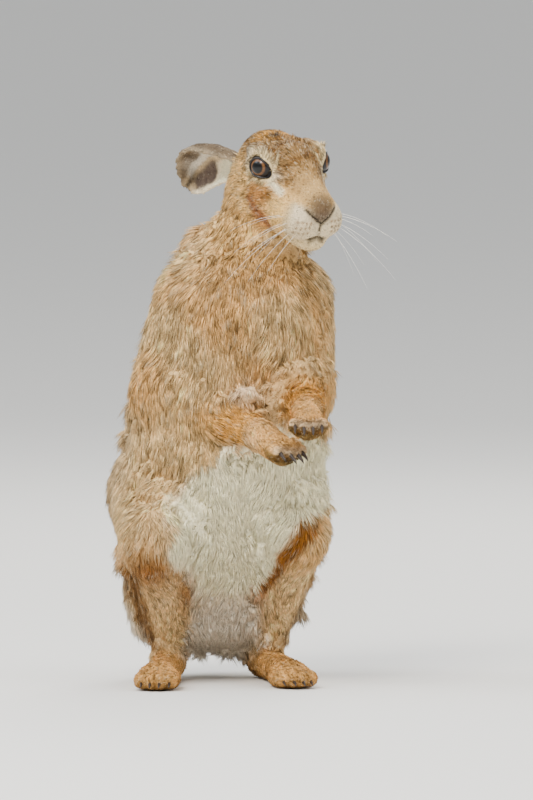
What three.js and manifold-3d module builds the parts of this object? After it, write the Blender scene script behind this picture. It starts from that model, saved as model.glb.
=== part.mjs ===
// A brown hare sitting up on its hind feet with both forepaws held out, as a still life-size museum model.
// Millimetres, +Z up. The hare's body faces -Y, its left side is +X, and its soles stand on Z = 0.
import * as THREE from "three";
import { mergeVertices } from "three/addons/utils/BufferGeometryUtils.js";
import Module from "manifold-3d";

const wasm = await Module();
wasm.setup();

// Driving sizes of the animal, coat included
const EAR_THICKNESS = 3.2;
const EYE_RADIUS = 10.5;
const EYE_AT = { back: 56, out: 19.5, up: 18.4 }; // from the nose tip to the middle of an eye
const HIND_TOE_RADIUS = 7.2;
const FORE_TOE_RADIUS = 6;
const CUT = 0.3; // the thin cut between neighbouring pieces

// Mesh sizes
const BODY_CELL = 17;
const HEAD_CELL = 7.8;
const FOOT_CELL = 8.8;
const PAW_CELL = 7;
const ARM_CELL = 10;
const COAT_BLEND = 16; // how softly one mass of the body runs into the next
const FACE_BLEND = 9;

// The trunk, from the rump up to the top of the back. Each level has its middle, its half width and
// half depth, and how far it turns to the hare's left.
const TRUNK_LEVELS = [
  { z: 17, x: 17, y: 66, wide: 12, deep: 10, turn: -2 },
  { z: 30, x: 14, y: 62, wide: 55, deep: 38, turn: -2 },
  { z: 47, x: 12, y: 55, wide: 66, deep: 46, turn: -2 },
  { z: 72, x: 11, y: 44, wide: 71, deep: 57, turn: -2 },
  { z: 100, x: 10, y: 31, wide: 70, deep: 68, turn: 0 },
  { z: 135, x: 11, y: 20, wide: 72, deep: 75, turn: 2 },
  { z: 170, x: 9, y: 14, wide: 72, deep: 76, turn: 5 },
  { z: 207, x: 8, y: 6, wide: 67, deep: 73, turn: 8 },
  { z: 243, x: 12, y: -3, wide: 65, deep: 69, turn: 11 },
  { z: 270, x: 14, y: -8, wide: 60, deep: 64, turn: 13 },
  { z: 293, x: 16, y: -4, wide: 52, deep: 57, turn: 13 },
  { z: 310, x: 14, y: 8, wide: 40, deep: 43, turn: 13 },
  { z: 322, x: 8, y: 18, wide: 24, deep: 27, turn: 13 },
  { z: 329, x: 7, y: 20, wide: 6, deep: 6, turn: 13 },
];

// Joints of the limbs, where the bones would meet
const LIMBS = {
  right: {
    hip: [-24, 48, 132], knee: [-56, -24, 106], hock: [-26, 42, 22], heel: [-22, 50, 11],
    ball: [-56, -32, 10], toe: [-70, -66],
    shoulder: [-24, -8, 276], elbow: [-41, 3, 209], wrist: [2, -87, 182], fingers: [10, -113, 172],
  },
  left: {
    hip: [42, 42, 132], knee: [45, -32, 109], hock: [48, 42, 22], heel: [49, 50, 11],
    ball: [38, -43, 10], toe: [34, -78],
    shoulder: [54, -8, 276], elbow: [54, -21, 209], wrist: [31, -106, 199], fingers: [22, -135, 191],
  },
};
const SIDES = Object.keys(LIMBS);
const LATERAL = { right: -1, left: 1 };

// The head's own frame: where the nose tip is, and how the head is turned, bowed and tipped
const NOSE_TIP = new THREE.Vector3(41.5, -106, 340);
const HEAD_TURN = 8;
const HEAD_BOW = 16;
const HEAD_TIP = 4;

const rad = THREE.MathUtils.degToRad;
const vec = (p) => (p.isVector3 ? p : new THREE.Vector3(...p));

function headAxes() {
  const turn = rad(HEAD_TURN);
  const bow = rad(HEAD_BOW);
  const level = new THREE.Vector3(Math.sin(turn), -Math.cos(turn), 0);
  const forward = level.multiplyScalar(Math.cos(bow)).setZ(-Math.sin(bow));
  const left = new THREE.Vector3(Math.cos(turn), Math.sin(turn), 0);
  const up = forward.clone().cross(left);
  left.applyAxisAngle(forward, rad(HEAD_TIP));
  up.applyAxisAngle(forward, rad(HEAD_TIP));
  return { forward, left, up };
}
const HEAD = headAxes();
const HEAD_FRAME = new THREE.Matrix4().makeBasis(HEAD.forward, HEAD.left, HEAD.up).setPosition(NOSE_TIP);
const INTO_HEAD = HEAD_FRAME.clone().invert();
// A point of the head: back from the nose tip, to the hare's left, and up
const onHead = (back, left, up) => new THREE.Vector3(-back, left, up).applyMatrix4(HEAD_FRAME);

// Soft union of two distances
function blend(a, b, k) {
  const h = Math.max(k - Math.abs(a - b), 0) / k;
  return Math.min(a, b) - (h * h * k) / 4;
}

// Distance to a rounded mass with three half axes, in the frame that `into` carries points to
function ball(centre, radii, into) {
  const c = vec(centre);
  const q = new THREE.Vector3();
  return (p) => {
    q.copy(p);
    if (into) q.applyMatrix4(into);
    q.sub(c);
    const k0 = Math.hypot(q.x / radii[0], q.y / radii[1], q.z / radii[2]);
    const k1 = Math.hypot(q.x / radii[0] ** 2, q.y / radii[1] ** 2, q.z / radii[2] ** 2);
    return k1 < 1e-9 ? -Math.min(...radii) : (k0 * (k0 - 1)) / k1;
  };
}

// Distance to a tapering round limb between two joints
function limb(from, to, thickFrom, thickTo, into) {
  const a = vec(from);
  const axis = vec(to).clone().sub(a);
  const q = new THREE.Vector3();
  return (p) => {
    q.copy(p);
    if (into) q.applyMatrix4(into);
    q.sub(a);
    const t = THREE.MathUtils.clamp(q.dot(axis) / axis.lengthSq(), 0, 1);
    return q.addScaledVector(axis, -t).length() - THREE.MathUtils.lerp(thickFrom, thickTo, t);
  };
}

// One smooth curve through the trunk levels for each of their sizes
function trunkAt(key, z) {
  const n = TRUNK_LEVELS.length;
  let i = TRUNK_LEVELS.findIndex((level) => level.z > z) - 1;
  if (z <= TRUNK_LEVELS[0].z) i = 0;
  if (z >= TRUNK_LEVELS[n - 1].z) i = n - 2;
  const pick = (j) => TRUNK_LEVELS[THREE.MathUtils.clamp(j, 0, n - 1)];
  const [p0, p1, p2, p3] = [pick(i - 1), pick(i), pick(i + 1), pick(i + 2)];
  const t = THREE.MathUtils.clamp((z - p1.z) / (p2.z - p1.z), 0, 1);
  const span = p2.z - p1.z;
  const m1 = ((p2[key] - p0[key]) / (p2.z - p0.z)) * span;
  const m2 = ((p3[key] - p1[key]) / (p3.z - p1.z)) * span;
  return (
    (2 * t ** 3 - 3 * t ** 2 + 1) * p1[key] + (t ** 3 - 2 * t ** 2 + t) * m1 +
    (3 * t ** 2 - 2 * t ** 3) * p2[key] + (t ** 3 - t ** 2) * m2
  );
}

function trunk(p) {
  const turn = rad(trunkAt("turn", p.z));
  const wide = Math.max(trunkAt("wide", p.z), 3);
  const deep = Math.max(trunkAt("deep", p.z), 3);
  const dx = p.x - trunkAt("x", p.z);
  const dy = p.y - trunkAt("y", p.z);
  const across = dx * Math.cos(turn) + dy * Math.sin(turn);
  const along = -dx * Math.sin(turn) + dy * Math.cos(turn);
  const side = (Math.hypot(across / wide, along / deep) - 1) * Math.min(wide, deep);
  const ends = Math.max(TRUNK_LEVELS[0].z - p.z, p.z - TRUNK_LEVELS.at(-1).z);
  return Math.max(side, ends);
}

// Four toes that fan out from the ball of a foot, as points near their roots and tips
function toesOf(side) {
  const { ball: pad, toe } = LIMBS[side];
  const ahead = new THREE.Vector3(toe[0] - pad[0], toe[1] - pad[1], 0).normalize();
  const across = new THREE.Vector3(-ahead.y, ahead.x, 0);
  const base = new THREE.Vector3(pad[0], pad[1], HIND_TOE_RADIUS);
  const reach = Math.hypot(toe[0] - pad[0], toe[1] - pad[1]);
  return [-1.5, -0.5, 0.5, 1.5].map((place) => {
    const length = reach - HIND_TOE_RADIUS - (Math.abs(place) > 1 ? 6 : 0);
    return {
      root: base.clone().addScaledVector(across, place * 5),
      tip: base.clone().addScaledVector(across, place * 6.6).addScaledVector(ahead, length),
      ahead,
    };
  });
}

// Four fingers of a forepaw
function fingersOf(side) {
  const { wrist, fingers } = LIMBS[side];
  const ahead = vec(fingers).clone().sub(vec(wrist)).normalize();
  const across = new THREE.Vector3(0, 0, 1).cross(ahead).normalize();
  const down = across.clone().cross(ahead);
  return [-1.5, -0.5, 0.5, 1.5].map((place) => {
    const length = Math.abs(place) > 1 ? 7 : 11;
    const root = vec(fingers).clone().addScaledVector(across, place * 5.5);
    const tip = root.clone().addScaledVector(across, place * 0.8);
    tip.addScaledVector(ahead, length).addScaledVector(down, -3);
    return { root, tip, ahead, down };
  });
}

function headMasses() {
  const both = (make) => [make(-1), make(1)].flat();
  const round = (back, left, up, radii) => ball([-back, left, up], radii, INTO_HEAD);
  const taper = (a, b, ra, rb) => limb([-a[0], a[1], a[2]], [-b[0], b[1], b[2]], ra, rb, INTO_HEAD);
  return [
    round(84, 0, 10, [28, 24, 24]), // cranium
    round(62, 0, 14, [30, 24, 19]), // forehead
    taper([50, 0, 20], [12, 0, 4], 15, 10), // bridge of the nose
    taper([55, 0, 0], [18, 0, -5], 24, 16), // muzzle
    round(7.5, 0, 1, [8, 10, 8]), // nose
    round(22, 1, -26, [16, 12, 9]), // chin
    ...both((s) => round(14, s * 10, -10, [14, 12, 12])), // whisker pads
    ...both((s) => round(37, s * 10, -10, [24, 13, 17])), // sides of the snout
    ...both((s) => taper([76, s * 8, -16], [30, s * 3, -18], 16, 11)), // jaw
    ...both((s) => round(70, s * 16, -4, [27, 14, 22])), // cheeks
    ...both((s) => round(62, s * 20, 25, [16, 8, 7])), // brows
  ];
}

function bodyMasses(sides) {
  const masses = [trunk];
  for (const side of sides) {
    const l = LIMBS[side];
    masses.push(limb(l.hip, l.knee, 46, 25)); // thigh
    masses.push(limb(l.knee, l.hock, 24, 11)); // shin
    masses.push(limb(l.heel, l.ball, 12, 11)); // middle foot
    masses.push(limb(l.shoulder, l.elbow, 28, 24)); // upper arm
    masses.push(limb(l.elbow, l.wrist, 18.5, 11.5)); // forearm
  }
  masses.push(limb([21, -10, 288], onHead(90, -3, -16), 37, 28)); // neck
  masses.push(limb([17, 78, 60], [18, 92, 36], 24, 19)); // tail
  return masses;
}

function footMasses(side) {
  return toesOf(side).map(({ root, tip }) => limb(root, tip, HIND_TOE_RADIUS + 2, HIND_TOE_RADIUS));
}

function pawMasses(side) {
  const { wrist, fingers } = LIMBS[side];
  return [
    limb(wrist, fingers, 12, 11.5),
    ...fingersOf(side).map(({ root, tip }) => limb(root, tip, FORE_TOE_RADIUS + 1, FORE_TOE_RADIUS)),
  ];
}

const FACE = headMasses();

// The animal as one soft form, below zero inside and above zero outside, with the limbs of the sides named
function hareWith(sides) {
  const masses = bodyMasses(sides);
  const small = sides.flatMap((side) => [...footMasses(side), ...pawMasses(side)]);
  const soften = (list, p, k) => list.map((mass) => mass(p)).reduce((a, b) => blend(a, b, k));
  return (p) => {
    const body = blend(soften(masses, p, COAT_BLEND), soften(FACE, p, FACE_BLEND), COAT_BLEND);
    return blend(body, soften(small, p, 4), 6);
  };
}
const hare = hareWith(SIDES);

const GRADIENT_STEP = 0.4;
function slope(field, p) {
  const at = (x, y, z) => field(new THREE.Vector3(p.x + x, p.y + y, p.z + z));
  const h = GRADIENT_STEP;
  return new THREE.Vector3(
    at(h, 0, 0) - at(-h, 0, 0),
    at(0, h, 0) - at(0, -h, 0),
    at(0, 0, h) - at(0, 0, -h),
  ).divideScalar(2 * h);
}

// True where some edge carries more than two faces, so that the form would pinch itself
function pinches(faces) {
  const seen = new Set();
  return faces.some(([a, b, c]) => [[a, b], [b, c], [c, a]].some(([p, q]) => {
    const edge = p * 1e6 + q;
    const again = seen.has(edge);
    seen.add(edge);
    return again;
  }));
}

// A closed form within a box, on the first of several shifted grids that doesn't pinch it
function formOver(field, low, high, cell) {
  for (const shift of [0, 0.21, 0.37, 0.58, 0.73, 0.87]) {
    const net = facesOver(field, low.map((v) => v - shift * cell), high, cell);
    if (!pinches(net.faces)) return solid(net.corners, net.faces);
  }
  throw new Error("no grid of this cell size gives a clean form");
}

// The lowest corner that each of a cell's eight joins along its own side of the form. Outside corners
// also join across the faces, so that neighbouring cells part a doubtful face alike.
function patchesOf(inside) {
  const label = inside.map((_, i) => i);
  for (let pass = 0; pass < 4; pass += 1) {
    for (let i = 0; i < 8; i += 1) {
      for (const bit of inside[i] ? [1, 2, 4] : [1, 2, 4, 3, 5, 6]) {
        const m = i ^ bit;
        if (inside[i] === inside[m]) label[i] = Math.min(label[i], label[m]);
      }
    }
  }
  return label;
}

// Faces over a soft form: one corner for each patch of it that crosses a cell, drawn onto its surface
function facesOver(field, low, high, cell) {
  const [nx, ny, nz] = [0, 1, 2].map((i) => Math.ceil((high[i] - low[i]) / cell) + 1);
  const id = (i, j, k) => (k * ny + j) * nx + i;
  const place = (i, j, k) => new THREE.Vector3(low[0] + i * cell, low[1] + j * cell, low[2] + k * cell);
  const value = new Float64Array(nx * ny * nz).fill(cell);
  for (let k = 1; k < nz - 1; k += 1) {
    for (let j = 1; j < ny - 1; j += 1) {
      for (let i = 1; i < nx - 1; i += 1) value[id(i, j, k)] = field(place(i, j, k));
    }
  }
  const settle = (corner) => {
    for (let pass = 0; pass < 3; pass += 1) {
      const g = slope(field, corner);
      const move = -field(corner) / Math.max(g.lengthSq(), 0.2);
      corner.addScaledVector(g, THREE.MathUtils.clamp(move, -cell / 3, cell / 3));
    }
    return corner;
  };
  const corners = [];
  const cornerOf = new Map();
  const key = (cellId, local, axis) => (cellId * 8 + local) * 3 + axis;
  for (let k = 0; k < nz - 1; k += 1) {
    for (let j = 0; j < ny - 1; j += 1) {
      for (let i = 0; i < nx - 1; i += 1) {
        const at = (n) => [i + (n & 1), j + ((n >> 1) & 1), k + (n >> 2)];
        const values = [0, 1, 2, 3, 4, 5, 6, 7].map((n) => value[id(...at(n))]);
        const inside = values.map((v) => v < 0);
        if (inside.every((v) => v === inside[0])) continue;
        const label = patchesOf(inside);
        const patches = new Map();
        for (let a = 0; a < 8; a += 1) {
          for (let axis = 0; axis < 3; axis += 1) {
            const b = a | (1 << axis);
            if (b === a || inside[a] === inside[b]) continue;
            const lots = inside[a] ? label[a] * 8 + label[b] : label[b] * 8 + label[a];
            if (!patches.has(lots)) patches.set(lots, { sum: new THREE.Vector3(), edges: [] });
            const patch = patches.get(lots);
            patch.sum.add(place(...at(a)).lerp(place(...at(b)), values[a] / (values[a] - values[b])));
            patch.edges.push(key(id(i, j, k), a, axis));
          }
        }
        for (const { sum, edges } of patches.values()) {
          edges.forEach((edge) => cornerOf.set(edge, corners.length));
          corners.push(settle(sum.divideScalar(edges.length)));
        }
      }
    }
  }
  const faces = [];
  for (let k = 0; k < nz - 1; k += 1) {
    for (let j = 0; j < ny - 1; j += 1) {
      for (let i = 0; i < nx - 1; i += 1) {
        const here = value[id(i, j, k)] < 0;
        for (let axis = 0; axis < 3; axis += 1) {
          const next = [i, j, k].map((v, n) => (n === axis ? v + 1 : v));
          if (here === value[id(...next)] < 0) continue;
          const [u, w] = [(axis + 1) % 3, (axis + 2) % 3];
          const around = [[-1, -1], [0, -1], [0, 0], [-1, 0]].map(([du, dw]) => {
            const c = [i, j, k];
            c[u] += du;
            c[w] += dw;
            return cornerOf.get(key(id(...c), (-du << u) | (-dw << w), axis));
          });
          const quad = here ? around : around.reverse();
          const across = corners[quad[0]].distanceTo(corners[quad[2]]);
          const other = corners[quad[1]].distanceTo(corners[quad[3]]);
          const [a, b, c, d] = across < other ? quad : [quad[1], quad[2], quad[3], quad[0]];
          faces.push([a, b, c], [a, c, d]);
        }
      }
    }
  }
  return { corners, faces };
}

function solid(corners, faces) {
  return new wasm.Manifold(new wasm.Mesh({
    numProp: 3,
    vertProperties: Float32Array.from(corners.flatMap((p) => [p.x, p.y, p.z])),
    triVerts: Uint32Array.from(faces.flat()),
  }));
}

// A closed skin over rings of points that follow one another
function loft(rings) {
  const n = rings[0].length;
  const corners = rings.flat();
  const faces = [];
  for (let r = 0; r < rings.length - 1; r += 1) {
    for (let i = 0; i < n; i += 1) {
      const [a, b] = [r * n + i, r * n + ((i + 1) % n)];
      faces.push([a, b, b + n], [a, b + n, a + n]);
    }
  }
  const last = (rings.length - 1) * n;
  const centre = (ring) => ring.reduce((sum, p) => sum.add(p), new THREE.Vector3()).divideScalar(n);
  corners.push(centre(rings[0]), centre(rings.at(-1)));
  for (let i = 0; i < n; i += 1) {
    faces.push([corners.length - 2, (i + 1) % n, i]);
    faces.push([corners.length - 1, last + i, last + ((i + 1) % n)]);
  }
  return solid(corners, faces);
}

function ringAround(centre, axis, radius, sides, lean = new THREE.Vector3(0, 0, 1)) {
  const u = lean.clone().cross(axis).normalize();
  const w = axis.clone().cross(u).normalize();
  return Array.from({ length: sides }, (_, i) => {
    const turn = (2 * Math.PI * i) / sides;
    const corner = centre.clone().addScaledVector(u, radius * Math.cos(turn));
    return corner.addScaledVector(w, radius * Math.sin(turn));
  });
}

// A tapering sleeve that parts a limb from the body; `grow` opens it by the width of a cut
function sleeve(from, to, wideFrom, wideTo, grow = 0) {
  const a = vec(from).clone();
  const b = vec(to).clone();
  const axis = b.clone().sub(a).normalize();
  a.addScaledVector(axis, -grow);
  b.addScaledVector(axis, grow);
  return loft([
    ringAround(a, axis, wideFrom + grow, 14, new THREE.Vector3(1, 0, 0)),
    ringAround(b, axis, wideTo + grow, 14, new THREE.Vector3(1, 0, 0)),
  ]);
}

// The largest connected piece of a cut solid
function largest(piece) {
  return piece.decompose().sort((a, b) => b.volume() - a.volume())[0];
}

// One shell of an ear: a gutter-shaped section that follows a curve from the head to the tip
const EARS = {
  right: { base: [20, 0, 370], bend: [6, 60, 384], tip: [5, 96, 349], opening: [-0.8, -0.1, -0.6] },
  left: { base: [41, 4, 373], bend: [50, 62, 380], tip: [56, 98, 356], opening: [0.8, 0.1, -0.6] },
};
const EAR_PROFILE = [
  // share of the length, radius of the gutter, half its opening angle
  [0, 9, 110], [0.14, 12, 110], [0.3, 15.5, 105], [0.46, 18, 95], [0.62, 18.5, 88],
  [0.77, 17.5, 80], [0.9, 14, 70], [1, 8, 55],
];

function earOf(side, grow = 0) {
  const { base, bend, tip, opening } = EARS[side];
  const curve = new THREE.QuadraticBezierCurve3(vec(base), vec(bend), vec(tip));
  const open = vec(opening).clone().normalize();
  const steps = 7;
  const rings = EAR_PROFILE.map(([share, radius, halfAngle]) => {
    const axis = curve.getTangent(share);
    const angle = halfAngle + THREE.MathUtils.radToDeg(grow / (radius - EAR_THICKNESS - grow));
    const away = open.clone().addScaledVector(axis, -open.dot(axis)).normalize().negate();
    const across = axis.clone().cross(away);
    const middle = curve.getPoint(share).addScaledVector(away, -radius * 0.5);
    if (share === 0) middle.addScaledVector(axis, -grow);
    const arc = (r) => Array.from({ length: steps + 1 }, (_, i) => {
      const turn = rad(THREE.MathUtils.lerp(-angle, angle, i / steps));
      const corner = middle.clone().addScaledVector(away, r * Math.cos(turn));
      return corner.addScaledVector(across, r * Math.sin(turn));
    });
    return [...arc(radius + grow), ...arc(radius - EAR_THICKNESS - grow).reverse()];
  });
  return loft(rings);
}

function eyeCentre(side) {
  return onHead(EYE_AT.back, LATERAL[side] * EYE_AT.out, EYE_AT.up);
}

function eyeball(side, radius) {
  const out = HEAD.left.clone().multiplyScalar(LATERAL[side]);
  const rings = [];
  const levels = 8;
  for (let i = 1; i < levels; i += 1) {
    const turn = (Math.PI * i) / levels;
    const centre = eyeCentre(side).addScaledVector(out, -radius * Math.cos(turn));
    rings.push(ringAround(centre, out, radius * Math.sin(turn), 12));
  }
  return loft(rings);
}

// One claw, bowed downwards, rooted inside the end of a toe
function claw(tip, ahead, down, grow = 0) {
  const shape = [[-5, 1.6, 0], [2, 1.6, 0.5], [8, 0.5, 2.8]];
  return loft(shape.map(([along, radius, sag], i) => {
    const stretch = i === 0 ? -grow : 0;
    const centre = tip.clone().addScaledVector(ahead, along + stretch).addScaledVector(down, sag);
    return ringAround(centre, ahead, radius + grow, 5);
  }));
}

const DOWN = new THREE.Vector3(0, 0, -1);
const OUTER = [[-150, -190, -30], [170, 170, 430]];
const pieces = {};

// The body first, then each piece is taken out of what is left of it
const head = formOver(hare, [-40, -145, 280], [105, 60, 425], HEAD_CELL);
let rest = formOver(hare, ...OUTER, BODY_CELL).trimByPlane([0, 0, 1], 0);

function take(name, from, cutter) {
  pieces[name] = largest(from.intersect(cutter(0)));
  rest = rest.subtract(cutter(CUT));
}

// Head and neck part along two slanting planes
const NECK_SLANT = new THREE.Vector3(0, -0.34, 1).normalize();
const NAPE = new THREE.Vector3(19, -16, 330);
const COLLAR = new THREE.Vector3(16, -10, 308);
const planeAt = (p, shift) => NECK_SLANT.dot(p) + shift;
const n = NECK_SLANT.toArray();
const flip = NECK_SLANT.clone().negate().toArray();
let skull = largest(head.trimByPlane(n, planeAt(NAPE, CUT)));
let neck = largest(rest.trimByPlane(n, planeAt(COLLAR, CUT)).trimByPlane(flip, -planeAt(NAPE, 0)));
rest = largest(rest.trimByPlane(flip, -planeAt(COLLAR, 0)));

for (const side of SIDES) {
  const l = LIMBS[side];
  const feet = formOver(
    hare, [l.toe[0] - 50, l.toe[1] - 25, -14.2], [l.toe[0] + 90, 90, 50], FOOT_CELL,
  ).trimByPlane([0, 0, 1], 0);
  const sole = (grow) => {
    const ahead = new THREE.Vector3(l.toe[0] - l.heel[0], l.toe[1] - l.heel[1], 0).normalize();
    const across = new THREE.Vector3(-ahead.y, ahead.x, 0);
    const back = vec(l.heel).clone().addScaledVector(ahead, -30 - grow);
    const front = vec(l.toe).clone().addScaledVector(ahead, 30 + grow);
    const ring = (p) => [[-27, -5], [27, -5], [27, 31], [-27, 31]].map(([u, z]) => (
      p.clone().setZ(z + Math.sign(z) * grow).addScaledVector(across, u + Math.sign(u) * grow)
    ));
    return loft([ring(back), ring(front)]);
  };
  take(`hind_foot_${side}`, feet, sole);
}

take("tail", rest, (grow) => sleeve([17, 84, 58], [18, 100, 4], 27, 27, grow));

for (const side of SIDES) {
  const l = LIMBS[side];
  const halfHare = hareWith([side]);
  const wrist = vec(l.wrist);
  const along = vec(l.fingers).clone().sub(wrist).normalize();
  const paws = formOver(
    halfHare, l.fingers.map((v) => v - 42), l.fingers.map((v) => v + 42), PAW_CELL,
  );
  take(`forepaw_${side}`, paws, (grow) => (
    sleeve(wrist.clone().addScaledVector(along, 2), wrist.clone().addScaledVector(along, 62), 23, 23, grow)
  ));
  const arms = formOver(halfHare, l.elbow.map((v, i) => Math.min(v, l.wrist[i]) - 32),
    l.elbow.map((v, i) => Math.max(v, l.wrist[i]) + 32), ARM_CELL);
  const start = vec(l.elbow).clone().lerp(wrist, 0.42);
  const ahead = wrist.clone().sub(vec(l.elbow)).normalize();
  take(`forearm_${side}`, arms.subtract(
    sleeve(wrist.clone().addScaledVector(along, 2), wrist.clone().addScaledVector(along, 62), 23, 23, CUT),
  ), (grow) => sleeve(start, wrist.clone().addScaledVector(ahead, 14), 24, 20, grow));
  const shinTop = vec(l.hock).clone().lerp(vec(l.knee), 0.72);
  take(`shin_${side}`, rest, (grow) => sleeve(vec(l.hock).clone().setZ(12), shinTop, 22, 30, grow));
  const outward = new THREE.Vector3(LATERAL[side], 0, 0);
  const hip = vec(l.hip).clone().addScaledVector(outward, 22);
  const pastKnee = vec(l.knee).clone().lerp(vec(l.hip), -0.5).addScaledVector(outward, 6);
  take(`thigh_${side}`, rest, (grow) => sleeve(hip, pastKnee, 52, 36, grow));
}

for (const side of SIDES) {
  pieces[`ear_${side}`] = earOf(side);
  pieces[`eye_${side}`] = eyeball(side, EYE_RADIUS);
  skull = skull.subtract(eyeball(side, EYE_RADIUS + CUT)).subtract(earOf(side, 2 * CUT));
  neck = neck.subtract(earOf(side, 2 * CUT));
  rest = rest.subtract(earOf(side, 2 * CUT));
  toesOf(side).forEach(({ tip, ahead }, i) => {
    const end = tip.clone().addScaledVector(ahead, HIND_TOE_RADIUS - 3).setZ(6);
    pieces[`claw_hind_${side}_${i + 1}`] = claw(end, ahead, DOWN);
    pieces[`hind_foot_${side}`] = pieces[`hind_foot_${side}`].subtract(claw(end, ahead, DOWN, CUT));
  });
  fingersOf(side).forEach(({ tip, ahead, down }, i) => {
    const end = tip.clone().addScaledVector(ahead, FORE_TOE_RADIUS - 2);
    pieces[`claw_fore_${side}_${i + 1}`] = claw(end, ahead, down);
    pieces[`forepaw_${side}`] = pieces[`forepaw_${side}`].subtract(claw(end, ahead, down, CUT));
  });
}
pieces.head = largest(skull);
pieces.neck = largest(neck);
pieces.trunk = largest(rest);

const COATS = [
  [/^(trunk|neck|head|thigh|shin|forearm)/, "buff", 0xb08a5c, 0.95],
  [/^(hind_foot|forepaw)/, "tan", 0xb27a45, 0.95],
  [/^tail/, "white", 0xddd6ca, 0.95],
  [/^ear/, "grey", 0x8f8474, 0.95],
  [/^eye/, "amber", 0x6b3d16, 0.15],
  [/^claw/, "horn", 0x2b2521, 0.5],
];

// Corners nearer than the weld become one, and faces that vanish with them are left out
const WELD = 0.03;
function joinCloseCorners(geometry) {
  const joined = mergeVertices(geometry, WELD);
  const kept = [];
  for (let i = 0; i < joined.index.count; i += 3) {
    const [a, b, c] = [0, 1, 2].map((k) => joined.index.getX(i + k));
    if (a !== b && b !== c && c !== a) kept.push(a, b, c);
  }
  joined.setIndex(kept);
  return joined;
}

const group = new THREE.Group();
for (const [name, piece] of Object.entries(pieces)) {
  const { vertProperties, triVerts } = piece.getMesh();
  const geometry = new THREE.BufferGeometry();
  geometry.setAttribute("position", new THREE.BufferAttribute(Float32Array.from(vertProperties), 3));
  geometry.setIndex(Array.from(triVerts));
  const [, finish, colour, roughness] = COATS.find(([pattern]) => pattern.test(name));
  const material = new THREE.MeshStandardMaterial({ color: colour, roughness, metalness: 0 });
  material.name = finish;
  const mesh = new THREE.Mesh(joinCloseCorners(geometry), material);
  mesh.name = name;
  group.add(mesh);
}

// The origin goes on the floor, under the middle of the animal's box
const box = new THREE.Box3().setFromObject(group);
const middle = box.getCenter(new THREE.Vector3());
group.position.set(-middle.x, -middle.y, -box.min.z);

export default group;
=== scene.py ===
import math

import bmesh
import bpy
import numpy as np
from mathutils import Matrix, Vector, kdtree


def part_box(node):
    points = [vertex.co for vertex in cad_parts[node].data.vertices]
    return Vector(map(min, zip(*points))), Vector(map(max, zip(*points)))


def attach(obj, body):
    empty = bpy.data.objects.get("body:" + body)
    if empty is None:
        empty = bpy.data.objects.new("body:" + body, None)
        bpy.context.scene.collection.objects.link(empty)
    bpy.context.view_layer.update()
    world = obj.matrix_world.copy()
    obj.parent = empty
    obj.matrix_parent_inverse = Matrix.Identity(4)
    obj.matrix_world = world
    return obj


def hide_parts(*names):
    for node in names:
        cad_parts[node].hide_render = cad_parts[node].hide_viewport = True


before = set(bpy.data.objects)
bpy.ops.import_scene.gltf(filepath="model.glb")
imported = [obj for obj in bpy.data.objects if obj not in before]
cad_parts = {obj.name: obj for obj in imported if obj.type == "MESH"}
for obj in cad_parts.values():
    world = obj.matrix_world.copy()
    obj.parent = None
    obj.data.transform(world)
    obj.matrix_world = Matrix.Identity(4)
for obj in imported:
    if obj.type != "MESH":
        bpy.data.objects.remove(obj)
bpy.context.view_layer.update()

# Millimetres, as the solids are drawn: body faces -Y, the hare's left is +X, soles on Z = 0.
MM = 0.001
HEAD_TURN = math.radians(8)
HEAD_BOW = math.radians(16)
HEAD_TIP = math.radians(4)
NOSE_TIP = np.array([41.5, -106.0, 340.0])
EYE_AT = (56.0, 19.5, 18.4)
EYE_RADIUS = 10.5
LID_RADIUS = 11.9  # of the flesh that lies over the eyeball
SOCKET_RADIUS = 9.6
# The eye's opening: its reach to the front and to the back, its half height, and the dip of its front corner
LID_FRONT, LID_BACK, LID_TALL, LID_DIP = 10.5, 7.6, 6.6, -0.22
EAR_PARTING = 33.0  # across, between the two ears
SIDES = ("right", "left")
LATERAL = {"right": -1.0, "left": 1.0}

TRUNK_LEVELS = np.array([
    # height, middle across, middle along, half width, half depth, turn
    [17, 17, 66, 12, 10, -2],
    [30, 14, 62, 55, 38, -2],
    [47, 12, 55, 66, 46, -2],
    [72, 11, 44, 71, 57, -2],
    [100, 10, 31, 70, 68, 0],
    [135, 11, 20, 72, 75, 2],
    [170, 9, 14, 72, 76, 5],
    [207, 8, 6, 67, 73, 8],
    [243, 12, -3, 65, 69, 11],
    [270, 14, -8, 60, 64, 13],
    [293, 16, -4, 52, 57, 13],
    [310, 14, 8, 40, 43, 13],
    [322, 8, 18, 24, 27, 13],
    [329, 7, 20, 6, 6, 13],
], dtype=float)

LIMBS = {
    "right": dict(hip=(-24, 48, 132), knee=(-56, -24, 106), hock=(-26, 42, 22), heel=(-22, 50, 11),
                  ball=(-56, -32, 10), toe=(-70, -66), shoulder=(-24, -8, 276), elbow=(-41, 3, 209),
                  wrist=(2, -87, 182), fingers=(10, -113, 172)),
    "left": dict(hip=(42, 42, 132), knee=(45, -32, 109), hock=(48, 42, 22), heel=(49, 50, 11),
                 ball=(38, -43, 10), toe=(34, -78), shoulder=(54, -8, 276), elbow=(54, -21, 209),
                 wrist=(31, -106, 199), fingers=(22, -135, 191)),
}


def unit(v):
    """The same direction, one long."""
    v = np.asarray(v, dtype=float)
    return v / np.maximum(np.linalg.norm(v, axis=-1, keepdims=True), 1e-9)


def ramp(x, low, high):
    """From nought at low to one at high, eased at both ends."""
    t = np.clip((x - low) / (high - low), 0, 1)
    return t * t * (3 - 2 * t)


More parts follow.
